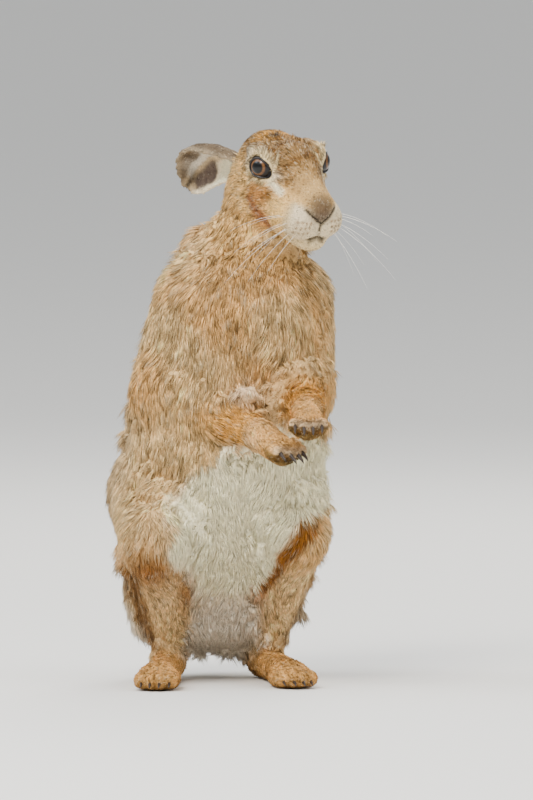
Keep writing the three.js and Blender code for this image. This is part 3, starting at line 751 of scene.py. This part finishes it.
def face_markings(p, colour, head, small):
    """The head's colours over those of the body, and each ear's own."""
    b, l, u = in_head(p)
    out = np.abs(l)
    q = np.stack([b, out, u], axis=1)

    def patch(at, sizes, power=2):
        far = np.linalg.norm((q - np.array(at, float)) / np.array(sizes, float), axis=1)
        return np.exp(-(far**power)) * head

    def lay(shade, amount):
        nonlocal colour
        colour = mix(colour, shade, amount)

    lay(tone(214, 180, 134), ramp(head, 0.2, 0.7))
    top = ramp(u - 0.12 * (b - 30), 6, 18) * ramp(b, 8, 22) * head
    lay(tone(158, 131, 100), 0.9 * top)
    fleck = drift(p * np.array([1.0, 0.6, 1.0]), 4.5, 2)
    lay(UMBER, (0.2 + 0.62 * ramp(fleck, -0.2, 0.6)) * top * (1 - 0.3 * ramp(l, 4, 16)))
    lay(tone(208, 160, 104), 0.8 * patch((80, 4, 33), (10, 13, 9), 3))
    crown_spot = np.linalg.norm(np.stack([b - 76, l + 3, u - 32], axis=1), axis=1)
    lay(BLACK, 0.85 * np.exp(-(crown_spot / 4.6) ** 4))
    lay(tone(186, 140, 100), 0.9 * patch((50, 24, 0), (12, 12, 9), 4))
    lay(DARK_RUST, 0.6 * patch((55, 27, 14), (6, 8, 10), 3))
    lay(UMBER, 0.85 * patch((40, 21, 2), (4, 6, 4.5), 3))
    lay(tone(200, 148, 108), 0.75 * patch((48, 22, -18), (10, 14, 10), 4))
    lay(tone(128, 84, 66), 0.8 * capsule(q, (57, 26, -6), (40, 19, -26), 2.0, 4.5) * head)
    lay(tone(218, 186, 136), 0.85 * patch((28, 21, -8), (10, 10, 11), 4))
    white = (1 - ramp(b + 0.2 * u + 1.2 * small, 12, 21)) * (1 - ramp(u - 0.35 * out, -3.5, 3)) * head
    shaded = mix(np.tile(tone(226, 212, 186), (len(p), 1)), tone(198, 178, 146), ramp(b + 2 * small, 5, 16))
    lay(shaded, 0.94 * white)
    stripe = capsule(q, (43, 21, 11), (30, 17, 6), 0.8, 4.0) * head
    lay(CREAM, 0.92 * stripe)
    chin = (1 - ramp(b, 28, 46)) * (1 - ramp(u, -27, -20)) * head
    lay(tone(228, 208, 172), 0.9 * chin)
    bridge = (1 - ramp(b, 22, 40)) * (1 - ramp(out, 7, 12)) * ramp(u, 4, 9) * head
    lay(tone(208, 178, 134), 0.4 * bridge)
    lay(tone(132, 111, 86), 0.7 * patch((10, 0, 8), (12, 11, 8), 3))
    lay(NOSE_BROWN, 0.94 * patch((1, 0, 2.5), (10, 11, 10), 4))
    lay(tone(84, 70, 62), 0.7 * patch((-1, 0, -3.5), (5, 6, 4.5)))
    # painted shade: the nostril slits, the split of the lip and the mouth line drawn black over their grooves
    lay(BLACK, 0.97 * (1 - ramp(face_line_gap(p), 0.6, 1.5)) * head)
    lay(BLACK, 0.7 * capsule(q, (4, 0, -20.5), (6, 5, -23), 1.2, 2.5))
    for row in range(3):
        for spot in range(4):
            gap = np.hypot(out - 8 - spot * 2.9 - row * 0.7, u + 7 + row * 4.0) + ramp(b, 12, 18) * 9
            lay(UMBER, 0.85 * np.exp(-((gap / 1.0) ** 2)) * head)
    for side in SIDES:
        middle, outward, ahead, above = eye_frame(side)
        e = p - middle
        r = np.linalg.norm(e, axis=1)
        s, t = e @ ahead, e @ above
        near = eyelid_gap(s, t)
        seen = (e @ outward > -2) * (1 - ramp(r, 14.5, 18))
        ring = (1 - ramp(near + 0.9 * small - 1.0 * ramp(t, 2, 7), 1.8, 4.6)) * seen
        lay(tone(228, 210, 174), 0.8 * ring)
        temple = np.exp(-(((s + 13) / 5) ** 2 + ((t - 4) / 7) ** 2)) * (e @ outward > -8)
        lay(tone(240, 226, 200), 0.65 * temple)
        corner = np.exp(-(((s - 13) / 6) ** 2 + ((t + 4) / 3.5) ** 2)) * (r < 26)
        lay(CREAM, 0.85 * corner)
        lay(BLACK, (1 - ramp(near, 0.3, 1.2)) * (e @ outward > 0) * (r < 18))
    for side in SIDES:
        mine = ramp(flesh_field(p), 0.5, 3.0) * ((p[:, 0] < EAR_PARTING) == (side == "right"))
        near_ear = along_ear(p, side)[4] < 40
        lay(ear_shades(p, side, small), mine * near_ear)
    return colour


def ear_shades(p, side, small):
    """An ear's colours: grizzled outside, banded pale and dark within, white rims and a black tip."""
    share, _, _, across, _ = along_ear(p, side)
    r, _, radius, _ = ear_polar(p, side)
    rise = -LATERAL[side] * across / radius + 0.05 * small
    within = 1 - ramp(r, radius - 2.0, radius - 1.2)
    shade = np.tile(EAR_BACK, (len(p), 1))
    shade = mix(shade, tone(176, 156, 130), 0.2 * ramp(small, -0.3, 0.9))
    shade = mix(shade, tone(190, 170, 142), within)
    band = ramp(rise, 0.02, 0.12) * (1 - ramp(rise, 0.55, 0.72)) * (1 - ramp(share, 0.84, 0.94))
    shade = mix(shade, tone(226, 218, 204), 0.9 * band * within)
    upper = ramp(rise, 0.26, 0.42) * (0.8 + 0.2 * ramp(small, -0.4, 0.5))
    shade = mix(shade, EAR_BACK, 0.92 * upper * within)
    bright = np.exp(-(((share - 0.4) / 0.13) ** 2 + ((rise - 0.3) / 0.22) ** 2))
    shade = mix(shade, CREAM, bright * within)
    lobe = (1 - ramp(rise, -0.2, -0.04)) * ramp(share, 0.42, 0.56) * (1 - ramp(share, 0.86, 0.95))
    shade = mix(shade, EAR_LOBE, 0.95 * lobe * within)
    puff = (1 - ramp(rise, -0.3, -0.1)) * (1 - ramp(share, 0.46, 0.56))
    shade = mix(shade, CREAM, 0.95 * puff * within)
    rim = ear_rim(p, side)
    shade = mix(shade, CREAM, 0.9 * rim * (1 - ramp(rise, 0.0, 0.4)))
    shade = mix(shade, tone(186, 172, 150), 0.35 * rim * ramp(rise, 0.0, 0.4))
    tip = np.exp(-(((share - 0.93) / 0.11) ** 2 + ((rise - 0.04) / 0.24) ** 2)) * within
    shade = mix(shade, BLACK, 0.95 * tip)
    return mix(shade, BLACK, 0.9 * ramp(share, 0.88, 0.95) * (1 - within) * (1 - rim))


EAR_PROFILE = np.array([
    [0, 9, 110], [0.14, 12, 110], [0.3, 15.5, 105], [0.46, 18, 95], [0.62, 18.5, 88], [0.77, 17.5, 80],
    [0.9, 14, 70], [1, 8, 55],
], dtype=float)


def ear_polar(p, side):
    """Distance from the gutter's own middle line, and the turn round it from the gutter's back in degrees."""
    share, _, open_to, across, _ = along_ear(p, side)
    radius = np.interp(share, EAR_PROFILE[:, 0], EAR_PROFILE[:, 1])
    half = np.interp(share, EAR_PROFILE[:, 0], EAR_PROFILE[:, 2])
    out = -open_to + radius * 0.5
    return np.hypot(out, across), np.degrees(np.arctan2(across, out)), radius, half


def ear_rim(p, side):
    """One along the edges of the ear's gutter, fading inwards."""
    _, turn, _, half = ear_polar(p, side)
    return ramp(np.abs(turn), half - 24, half - 8)


def linear_attribute(mesh, name, colours):
    """Colours kept on the vertices."""
    layer = mesh.color_attributes.new(name, "FLOAT_COLOR", "POINT")
    full = np.ones((len(colours), 4), dtype=np.float32)
    full[:, :3] = np.clip(colours, 0, 1)
    layer.data.foreach_set("color", full.ravel())


def paint_skin(skin):
    """The markings on the skin, under the hair."""
    p = skin_places(skin.data)
    pulls, _, _ = weights_of(p)
    linear_attribute(skin.data, "Marking", markings(p, pulls) * SKIN_SHADE)


def unwrap_skin(skin):
    """The skin's unwrap, which the tufts share."""
    only(skin)
    bpy.ops.object.mode_set(mode="EDIT")
    bpy.ops.mesh.select_all(action="SELECT")
    bpy.ops.uv.smart_project(angle_limit=math.radians(72), island_margin=0.002)
    bpy.ops.object.mode_set(mode="OBJECT")
    skin.data.uv_layers.active.name = "OFBake"


# Materials
def set_inputs(node, values):
    """Plain values on a node's own sockets."""
    for key, value in values.items():
        node.inputs[key].default_value = value


def new_material(name):
    """A material, its node tree and its shader."""
    material = bpy.data.materials.new(name)
    material.use_nodes = True
    tree = material.node_tree
    return material, tree, tree.nodes["Principled BSDF"]


def grain_group():
    """Fine unevenness of hair: a colour in, the same colour streaked lighter and darker, and a height out."""
    group = bpy.data.node_groups.new("hair grain", "ShaderNodeTree")
    face = group.interface
    face.new_socket("Colour", in_out="INPUT", socket_type="NodeSocketColor")
    size = face.new_socket("Scale", in_out="INPUT", socket_type="NodeSocketFloat")
    size.default_value = 900
    depth = face.new_socket("Strength", in_out="INPUT", socket_type="NodeSocketFloat")
    depth.default_value = 0.3
    face.new_socket("Colour", in_out="OUTPUT", socket_type="NodeSocketColor")
    face.new_socket("Height", in_out="OUTPUT", socket_type="NodeSocketFloat")
    nodes, links = group.nodes, group.links
    into, out = nodes.new("NodeGroupInput"), nodes.new("NodeGroupOutput")
    where = nodes.new("ShaderNodeTexCoord")
    stretch = nodes.new("ShaderNodeMapping")
    stretch.inputs["Scale"].default_value = (1, 1, 0.35)
    noise = nodes.new("ShaderNodeTexNoise")
    noise.inputs["Detail"].default_value = 3
    links.new(where.outputs["Object"], stretch.inputs["Vector"])
    links.new(stretch.outputs["Vector"], noise.inputs["Vector"])
    links.new(into.outputs["Scale"], noise.inputs["Scale"])
    level = nodes.new("ShaderNodeMapRange")
    set_inputs(level, {"From Min": 0.3, "From Max": 0.7, "To Min": 0.55, "To Max": 1.3})
    links.new(noise.outputs["Fac"], level.inputs["Value"])
    shade = nodes.new("ShaderNodeVectorMath")
    shade.operation = "SCALE"
    links.new(into.outputs["Colour"], shade.inputs[0])
    links.new(level.outputs["Result"], shade.inputs["Scale"])
    blend_node = nodes.new("ShaderNodeMix")
    blend_node.data_type = "RGBA"
    links.new(into.outputs["Strength"], blend_node.inputs["Factor"])
    links.new(into.outputs["Colour"], blend_node.inputs["A"])
    links.new(shade.outputs["Vector"], blend_node.inputs["B"])
    links.new(blend_node.outputs["Result"], out.inputs["Colour"])
    links.new(noise.outputs["Fac"], out.inputs["Height"])
    return group


def hair_material(name, grain, attribute, scale, strength, rough, bump):
    """Hair in the colours of an attribute, streaked by the grain, with or without bump."""
    material, tree, shader = new_material(name)
    nodes, links = tree.nodes, tree.links
    paint = nodes.new("ShaderNodeVertexColor")
    paint.layer_name = attribute
    use = nodes.new("ShaderNodeGroup")
    use.node_tree = grain
    set_inputs(use, {"Scale": scale, "Strength": strength})
    links.new(paint.outputs["Color"], use.inputs["Colour"])
    links.new(use.outputs["Colour"], shader.inputs["Base Color"])
    set_inputs(shader, {"Roughness": rough, "Specular IOR Level": 0.15})
    if bump:
        height = nodes.new("ShaderNodeBump")
        set_inputs(height, {"Strength": bump, "Distance": 0.0006})
        links.new(use.outputs["Height"], height.inputs["Height"])
        links.new(height.outputs["Normal"], shader.inputs["Normal"])
    return material


# The coat
def coat_roots(skin):
    """Where tufts grow: places on the skin, the way out there, and their places on the skin's unwrap."""
    mesh = skin.data
    mesh.calc_loop_triangles()
    corner = read_all(mesh.loop_triangles, "vertices", 3, np.int32)
    loops = read_all(mesh.loop_triangles, "loops", 3, np.int32)
    tri = skin_places(mesh)[corner]
    tri_uv = read_all(mesh.uv_layers["OFBake"].data, "uv", 2)[loops]
    tri_n = read_all(mesh.vertices, "normal", 3)[corner]
    area = np.linalg.norm(np.cross(tri[:, 1] - tri[:, 0], tri[:, 2] - tri[:, 0]), axis=1) / 2
    middle = tri.mean(axis=1)
    _, _, coat = weights_of(middle)
    density = coat[:, 4] * face_density(middle)
    density = np.where(middle[:, 2] < BARE_SOLE, 0, density)
    want = area * density
    want *= COAT_TUFTS * 1.0 / want.sum()
    total = int(want.sum())
    ends = np.cumsum(want)
    draws = (np.arange(total) + rng.random(total)) / total * ends[-1]
    pick = np.minimum(np.searchsorted(ends, draws), len(tri) - 1)
    a, b = rng.random((2, total))
    over = a + b > 1
    a, b = np.where(over, 1 - a, a), np.where(over, 1 - b, b)
    share = np.stack([1 - a - b, a, b], axis=1)
    root = np.einsum("ij,ijk->ik", share, tri[pick])
    normal = unit(np.einsum("ij,ijk->ik", share, tri_n[pick]))
    where = np.einsum("ij,ijk->ik", share, tri_uv[pick])
    return root, normal, where


def face_density(p):
    """Bare places: the eyes' openings, nostrils and mouth line; finer hair on the front of the face."""
    b, _, _ = in_head(p)
    amount = 1.0 + 0.5 * (1 - ramp(b, 15, 50)) * (face_field(p) < 2)
    for side in SIDES:
        middle, out, front, top = eye_frame(side)
        q = p - middle
        r = np.linalg.norm(q, axis=1)
        near = eyelid_gap(q @ front, q @ top)
        amount = np.where((r < 17) & (q @ out > 0) & (near < 1.2), 0, amount)
    amount = np.where(face_line_gap(p) < 1.3, 0, amount)
    return amount


def tuft_shape(root, normal, pulls, flow, coat):
    """Direction along the body, length, width and lift of each tuft."""
    count = len(root)
    b, _, _ = in_head(root)
    turn = np.radians(16 * drift(root, 30) + 11 * drift(root, 9, 2) + rng.normal(0, 7, count))
    along = unit(flow - normal * np.einsum("ij,ij->i", flow, normal)[:, None])
    for eye in SIDES:
        middle, out, _, _ = eye_frame(eye)
        q = root - middle
        r = np.linalg.norm(q, axis=1)
        away = unit(q - out * (q @ out)[:, None])
        pull = (1 - ramp(r, 12, 19))[:, None] * 0.7
        along = unit(along * (1 - pull) + away * pull)
        along = unit(along - normal * np.einsum("ij,ij->i", along, normal)[:, None])
    side = np.cross(normal, along)
    along = along * np.cos(turn)[:, None] + side * np.sin(turn)[:, None]
    length = coat[:, 1] * rng.uniform(0.72, 1.25, count)
    face = pulls["head"] * (1 - ramp(b, 12, 62))
    length = length * (1 - 0.62 * face)
    width = coat[:, 3] * rng.uniform(0.7, 1.25, count) * (1 - 0.3 * face)
    lift = np.radians(coat[:, 2] + rng.normal(0, 4, count))
    body = pulls["trunk"] + pulls["thigh_right"] + pulls["thigh_left"]
    stray = (rng.random(count) < STRAY_SHARE) & (body > 0.5)
    length = np.where(stray, length * 1.35, length)
    lift = np.where(stray, lift + np.radians(8), lift)
    width = np.where(stray, width * 0.5, width)
    return along, length, width, lift


def gather(root, tip, coat):
    """Tufts lean their tips towards the nearest lock's own tip."""
    count = len(root)
    chosen = rng.permutation(count)[: max(count // TUFTS_PER_LOCK, 1)]
    tree = kdtree.KDTree(len(chosen))
    for i, c in enumerate(chosen):
        tree.insert(Vector(root[c]), i)
    tree.balance()
    nearest = np.array([tree.find(Vector(r))[1] for r in root])
    lock = chosen[nearest]
    gap = np.linalg.norm(root[lock] - root, axis=1)
    reach = 3.0 + coat[:, 1] * 0.35
    pull = 0.42 * (1 - ramp(gap, reach * 0.6, reach * 1.6))
    return tip + (tip[lock] - tip) * pull[:, None], lock


def build_tufts(name, root, tip, normal, width, colours, where, material):
    """One joined mesh of closed tufts, each a bowed three-sided spindle that is pointed at both ends."""
    count = len(root)
    run = tip - root
    reach = np.linalg.norm(run, axis=1)[:, None]
    ahead = unit(run)
    across = unit(np.cross(ahead, normal))
    above = np.cross(across, ahead)
    half = width[:, None] / 2
    waist = root + run * 0.38 + above * reach * 0.07
    points = [root, waist + across * half, waist - across * half, waist + above * half * 0.8, tip]
    points = np.stack(points, axis=1)
    pattern = np.array([(0, 2, 1), (0, 3, 2), (0, 1, 3), (4, 1, 2), (4, 2, 3), (4, 3, 1)])
    faces = (pattern[None] + (np.arange(count) * 5)[:, None, None]).reshape(-1, 3)
    total = len(faces)
    mesh = bpy.data.meshes.new(name)
    mesh.vertices.add(count * 5)
    mesh.vertices.foreach_set("co", place(points.reshape(-1, 3)).ravel())
    mesh.loops.add(total * 3)
    mesh.loops.foreach_set("vertex_index", faces.ravel().astype(np.int32))
    mesh.polygons.add(total)
    mesh.polygons.foreach_set("loop_start", np.arange(0, total * 3, 3, dtype=np.int32))
    mesh.polygons.foreach_set("use_smooth", np.ones(total, dtype=bool))
    mesh.update(calc_edges=True)
    root_shade, waist_shade, tip_shade = colours
    table = np.stack([root_shade, waist_shade, waist_shade, waist_shade, tip_shade], axis=1)
    linear_attribute(mesh, "Coat", table.reshape(-1, 3))
    layer = mesh.uv_layers.new(name="OFBake")
    patch = np.array([(0.5, 0), (0.1, 0.4), (0.9, 0.4), (0.5, 0.5), (0.5, 1)])
    spots = where[:, None, :] + (patch - 0.5)[None] * 0.003
    uv = np.clip(spots.reshape(-1, 2)[faces.ravel()], 0.0, 1.0)
    layer.data.foreach_set("uv", uv.ravel().astype(np.float32))
    mesh.materials.append(material)
    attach(link(name, mesh), "root")


def hair_colours(root, lock, pulls):
    """Three shades along each tuft: darker near the skin, partly painted shade deep in the coat, the marking,
    then grizzled tips.
    """
    count = len(root)
    base = markings(root, pulls)
    white = ramp(base.min(axis=1), 0.4, 0.62)
    lot, fleck = rng.random((2, count))[:, lock]
    own = np.where(rng.random(count) < 0.65, fleck, rng.random(count))
    shade = 0.74 + 0.44 * lot + rng.normal(0, 0.1, count)
    shade = mix(shade[:, None], (0.93 + 0.1 * lot)[:, None], white)
    body = base * shade
    b, _, u = in_head(root)
    grizzled = 0.15 + 0.25 * pulls["head"] * ramp(u, 6, 16) * ramp(b, 8, 30)
    dark = (own < grizzled) & (white < 0.4)
    pale = (own > 0.82) & (white < 0.6)
    tip = np.where(dark[:, None], body * 0.22, body * 1.1)
    tip = np.where(pale[:, None], mix(body, tone(252, 236, 200), np.full(count, 0.6)), tip)
    waist = np.where(dark[:, None], body * 0.55, body)
    waist = np.where(pale[:, None], body * 1.15, waist)
    # darker roots: partly the hair's own darker base, partly painted shade deep in the coat, less under white
    # hair
    deep = mix(np.full((count, 1), 0.45), 0.9, white)
    return body * deep, waist, tip


def make_coat(skin, material):
    """All the tufts, in pieces for the body, head, ears, arms and legs."""
    root, normal, where = coat_roots(skin)
    pulls, flow, coat = weights_of(root)
    along, length, width, lift = tuft_shape(root, normal, pulls, flow, coat)
    way = along * np.cos(lift)[:, None] + normal * np.sin(lift)[:, None]
    sunk = root - normal * 0.5
    tip = sunk + way * length[:, None]
    tip, lock = gather(root, tip, coat)
    tip[:, 2] = np.maximum(tip[:, 2], HAIR_FLOOR)
    shades = hair_colours(root, lock, pulls)
    group = np.full(len(root), "body", dtype=object)
    legs = sum(pulls[k] for k in pulls if k.startswith(("shin", "foot", "toes")))
    arms = sum(pulls[k] for k in pulls if k.startswith(("forearm", "paw")))
    ears = pulls["ear_right"] + pulls["ear_left"]
    group[legs > 0.5] = "legs"
    group[arms > 0.5] = "arms"
    group[pulls["head"] > 0.5] = "head"
    group[ears > 0.5] = "ears"
    at = trunk_at(root[:, 2])
    order = np.arctan2(root[:, 0] - at[:, 1], -(root[:, 1] - at[:, 2]))
    b, _, _ = in_head(root)
    for part in ("body", "head", "ears", "arms", "legs"):
        members = np.flatnonzero(group == part)
        key = {"body": order, "head": b}.get(part, root[:, 0])
        members = members[np.argsort(key[members], kind="stable")]
        pieces = max(1, math.ceil(len(members) / MOST_TUFTS))
        for i, chosen in enumerate(np.array_split(members, pieces)):
            if len(chosen):
                build_tufts(f"coat_{part}_{i + 1}", sunk[chosen], tip[chosen], normal[chosen], width[chosen],
                            [s[chosen] for s in shades], where[chosen], material)


# Eyes, claws and whiskers
def make_eye(side):
    """An eyeball with a slightly raised cornea, a dark pupil and an amber iris."""
    middle, out, front, _ = eye_frame(side)
    bpy.ops.object.select_all(action="DESELECT")
    bpy.ops.mesh.primitive_uv_sphere_add(segments=64, ring_count=40, radius=EYE_RADIUS * MM)
    eye = bpy.context.active_object
    eye.name = eye.data.name = f"eyeball_{side}"
    p = read_all(eye.data.vertices, "co", 3) / MM
    turned = p[:, 2:3] * out + p[:, 0:1] * front + p[:, 1:2] * np.cross(out, front)
    deep = p[:, 2] / EYE_RADIUS
    turned = turned + out * (0.55 * ramp(deep, 0.72, 1.0))[:, None]
    eye.data.vertices.foreach_set("co", place(turned + middle).ravel())
    eye.data.update()
    face_outward(eye)
    r = np.degrees(np.arccos(np.clip(deep, -1, 1)))
    round_ = np.arctan2(p[:, 1], p[:, 0])
    streak = 0.5 + 0.5 * np.sin(round_ * 23 + 2 * np.sin(round_ * 7))
    iris = mix(np.tile(tone(112, 74, 38), (len(p), 1)), tone(72, 46, 24), 0.6 * streak)
    colour = mix(iris, tone(58, 32, 18), ramp(r, 31, 34))
    colour = mix(colour, tone(16, 11, 10), ramp(r, 33, 37))
    colour = mix(colour, tone(3, 3, 4), 1 - ramp(r, 23, 25))
    linear_attribute(eye.data, "Iris", colour)
    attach(eye, "root")
    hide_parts(f"eye_{side}")
    return eye


def make_lid_rim(side):
    """The dark wet edge of the eyelids, a thin closed ring that lies on the eyeball."""
    middle, out, front, top = eye_frame(side)
    turns = np.linspace(0, 2 * math.pi, 72, endpoint=False)
    c, k = np.cos(turns), np.sin(turns)
    s = np.where(c > 0, LID_FRONT, LID_BACK) * c
    dip = np.where(s > 0, LID_DIP * s, 0)
    t = dip + LID_TALL * np.sign(k) * np.sqrt(np.clip(1 - c * c, 0, 1))
    s, t = s * 0.97, t * 0.99
    o = np.sqrt(np.clip(10.9**2 - s * s - t * t, 4, None))
    ring = middle + front * s[:, None] + top * t[:, None] + out * o[:, None]
    ahead = unit(np.roll(ring, -1, axis=0) - np.roll(ring, 1, axis=0))
    away = unit(ring - middle)
    side_way = np.cross(ahead, away)
    sections = np.linspace(0, 2 * math.pi, 8, endpoint=False)
    points = [ring + away * 0.75 * math.cos(a) + side_way * 0.85 * math.sin(a) for a in sections]
    points = np.concatenate(points)
    n = len(ring)
    faces = []
    for i in range(8):
        for j in range(n):
            a, b = i * n + j, i * n + (j + 1) % n
            c2, d = ((i + 1) % 8) * n + (j + 1) % n, ((i + 1) % 8) * n + j
            faces.append((a, b, c2, d))
    rim = shaped_mesh(f"lid_edge_{side}", place(points), faces)
    face_outward(rim)
    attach(rim, "root")
    return rim


def ring_of(bm, middle, across, above, wide, tall, turns):
    """Points round a middle, for one ring of a horn or a thread."""
    made = []
    for a in turns:
        made.append(bm.verts.new(place(middle + across * wide * math.cos(a) + above * tall * math.sin(a))))
    return made


def close_tube(bm, rings):
    """Walls from ring to ring, and a cap at either end."""
    for low, high in zip(rings, rings[1:]):
        for j in range(len(low)):
            k = (j + 1) % len(low)
            bm.faces.new((low[j], low[k], high[k], high[j]))
    bm.faces.new(rings[0][::-1])
    bm.faces.new(rings[-1])


def finished(bm, name):
    """The drawn faces as an object of this name, facing outwards and riding the animal."""
    bmesh.ops.recalc_face_normals(bm, faces=bm.faces)
    mesh = bpy.data.meshes.new(name)
    bm.to_mesh(mesh)
    bm.free()
    obj = link(name, mesh)
    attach(obj, "root")
    return obj


def make_claws():
    """The sixteen claws, each a bowed horn swept along its toe, in place of the solid's own claw."""
    bm = bmesh.new()
    # Along the claw: how far ahead, its radius, and how far it has bowed down
    shape = [(-4, 1.5, 0), (0, 1.6, 0.1), (2, 1.5, 0.5), (4.5, 1.2, 1.1), (6.5, 0.8, 1.9), (8, 0.25, 2.8)]
    turns = np.linspace(0, 2 * math.pi, 10, endpoint=False)
    names = []
    for side in SIDES:
        ends = []
        for i, (_, tip, ahead) in enumerate(toes_of(side)):
            spot = tip + ahead * 4.2
            spot[2] = 6
            ends.append((f"claw_hind_{side}_{i + 1}", spot, ahead, np.array([0, 0, -1.0])))
        for i, (_, tip, ahead, down) in enumerate(fingers_of(side)):
            ends.append((f"claw_fore_{side}_{i + 1}", tip + ahead * 4, ahead, down))
        for name, spot, ahead, down in ends:
            names.append(name)
            across = np.cross(ahead, down)
            rings = []
            for far, radius, sag in shape:
                middle = spot + ahead * far + down * sag
                rings.append(ring_of(bm, middle, across, down, radius * 0.8, radius, turns))
            close_tube(bm, rings)
    claws = finished(bm, "claws")
    only(claws)
    bpy.ops.object.shade_smooth()
    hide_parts(*names)
    return claws


def make_whiskers():
    """Long white whiskers from the pads, fine tapering threads that droop towards their tips."""
    bm = bmesh.new()
    hairs = np.random.default_rng(7)
    fall = np.array([0, 0, -1.0])
    steps = np.linspace(0, 1, 9)
    for side in SIDES:
        for row in range(3):
            for spot in range(3):
                start = on_head(7 + spot * 4.4 + row, LATERAL[side] * (10.5 + spot * 2.2), -6 - row * 4.2)
                reach = hairs.uniform(30, 50) + 8 * (row == 1)
                lean = 0.35 if side == "left" else -0.35
                way = unit(np.array([lean - 0.12 * spot, LATERAL[side] * 0.8, -0.1 - 0.3 * row]) @ HEAD)
                way = unit(way + hairs.normal(0, 0.12, 3))
                line = [start + way * reach * t + fall * reach * 0.3 * t * t for t in steps]
                rings = []
                for i, (t, here) in enumerate(zip(steps, line)):
                    ahead = unit(line[min(i + 1, 8)] - line[max(i - 1, 0)])
                    across = unit(np.cross(ahead, fall))
                    above = np.cross(across, ahead)
                    radius = 0.17 * (1 - 0.75 * t)
                    rings.append(ring_of(bm, here, across, above, radius, radius, (0, 2.094, 4.189)))
                close_tube(bm, rings)
    return finished(bm, "whiskers")


def plain_finish(name, colour, rough, coat=0.0, attribute=None):
    """A plain material, or one with the colours of an attribute."""
    material, tree, shader = new_material(name)
    set_inputs(shader, {
        "Base Color": (*colour, 1), "Roughness": rough, "Specular IOR Level": 0.2,
        "Coat Weight": coat, "Coat Roughness": 0.03,
    })
    if attribute:
        paint = tree.nodes.new("ShaderNodeVertexColor")
        paint.layer_name = attribute
        tree.links.new(paint.outputs["Color"], shader.inputs["Base Color"])
    return material


def set_stage():
    """A pale floor that curves up into a round backdrop, soft studio light from above and both sides."""
    bend, radius = 12.0, 40.0
    curve = [(0.0, 0.0), (3.0, 0.0), (12.0, 0.0)]
    rise = np.linspace(0, math.pi / 2, 14)
    curve += [(radius - bend + bend * math.sin(a), bend - bend * math.cos(a)) for a in rise]
    curve += [(radius, 13.0)]
    spokes = 64
    points, faces = [(0, 0, 0)], []
    turns = np.linspace(0, 2 * math.pi, spokes, endpoint=False)
    for far, high in curve[1:]:
        points += [(far * math.cos(a), far * math.sin(a), high) for a in turns]
    for j in range(spokes):
        faces.append((0, 1 + j, 1 + (j + 1) % spokes))
    for i in range(len(curve) - 2):
        for j in range(spokes):
            a, b = 1 + i * spokes + j, 1 + i * spokes + (j + 1) % spokes
            faces.append((a, a + spokes, b + spokes, b))
    floor = shaped_mesh("floor", points, faces)
    only(floor)
    bpy.ops.object.shade_smooth()
    floor.data.materials.append(plain_finish("pale floor", tone(226, 224, 219), 0.95))
    world = bpy.data.worlds.new("studio")
    bpy.context.scene.world = world
    world.use_nodes = True
    air = world.node_tree.nodes["Background"]
    set_inputs(air, {"Color": (0.93, 0.96, 1.0, 1), "Strength": 0.85})
    for name, spot, size, power, colour in (
        ("key", (-1.4, -1.7, 2.3), 1.1, 105, (1.0, 0.97, 0.92)),
        ("fill", (1.9, -1.9, 1.2), 1.6, 22, (1.0, 0.97, 0.93)),
        ("sky", (-1.9, 0.2, 1.9), 1.3, 34, (0.84, 0.91, 1.0)),
        ("rim", (1.1, 1.8, 1.8), 1.0, 34, (1.0, 0.98, 0.94)),
        ("top", (0.0, 0.0, 5.2), 6.0, 190, (1.0, 0.99, 0.97)),
    ):
        lamp = bpy.data.lights.new(name, "AREA")
        lamp.size = size
        lamp.energy = power
        lamp.color = colour
        obj = link(name, lamp)
        obj.location = spot
        obj.rotation_euler = (Vector((0, 0, 0.2)) - Vector(spot)).to_track_quat("-Z", "Y").to_euler()


PIXELS_PER_MM = 1.4
PICTURE = (533, 800)
STAND_AT = (220, 683.5)  # where the animal's own zero falls in the picture
CAMERA_TURN = math.radians(-18)
CAMERA_RISE = math.radians(3)
CAMERA_AWAY = 10000.0
SENSOR = 36


def set_camera():
    """The photo's view: turned to the hare's right, a little above level, from far off."""
    right = np.array([math.cos(CAMERA_TURN), math.sin(CAMERA_TURN), 0])
    away = np.array([-math.sin(CAMERA_TURN), math.cos(CAMERA_TURN), 0])
    up = np.array([0, 0, math.cos(CAMERA_RISE)]) + away * math.sin(CAMERA_RISE)
    ahead = away * math.cos(CAMERA_RISE) - np.array([0, 0, math.sin(CAMERA_RISE)])
    centre = right * (PICTURE[0] / 2 - STAND_AT[0]) / PIXELS_PER_MM
    centre = centre + up * (STAND_AT[1] - PICTURE[1] / 2) / PIXELS_PER_MM
    lens = bpy.data.cameras.new("view")
    lens.sensor_fit = "HORIZONTAL"
    lens.sensor_width = SENSOR
    lens.lens = SENSOR * CAMERA_AWAY / (PICTURE[0] / PIXELS_PER_MM)
    lens.clip_end = 120
    camera = link("view", lens)
    camera.location = place(centre - ahead * CAMERA_AWAY)
    camera.rotation_euler = Vector(ahead).to_track_quat("-Z", "Y").to_euler()
    bpy.context.scene.camera = camera


set_camera()
set_stage()
skin = make_skin()
paint_skin(skin)
unwrap_skin(skin)
grain = grain_group()
skin.data.materials.clear()
skin.data.materials.append(hair_material("short underfur", grain, "Marking", 900, 0.5, 0.9, 0.5))
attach(skin, "root")
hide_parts(*flesh_nodes)
make_coat(skin, hair_material("hare coat", grain, "Coat", 420, 0.4, 0.7, 0.0))
for side in SIDES:
    make_eye(side).data.materials.append(plain_finish("amber eye", (0.3, 0.15, 0.05), 0.3, 0.3, "Iris"))
    make_lid_rim(side).data.materials.append(plain_finish("wet lid edge", tone(26, 20, 18), 0.28, 0.4))
make_claws().data.materials.append(plain_finish("dark horn", tone(52, 42, 36), 0.35, 0.2))
make_whiskers().data.materials.append(plain_finish("white whisker", tone(240, 234, 222), 0.4))
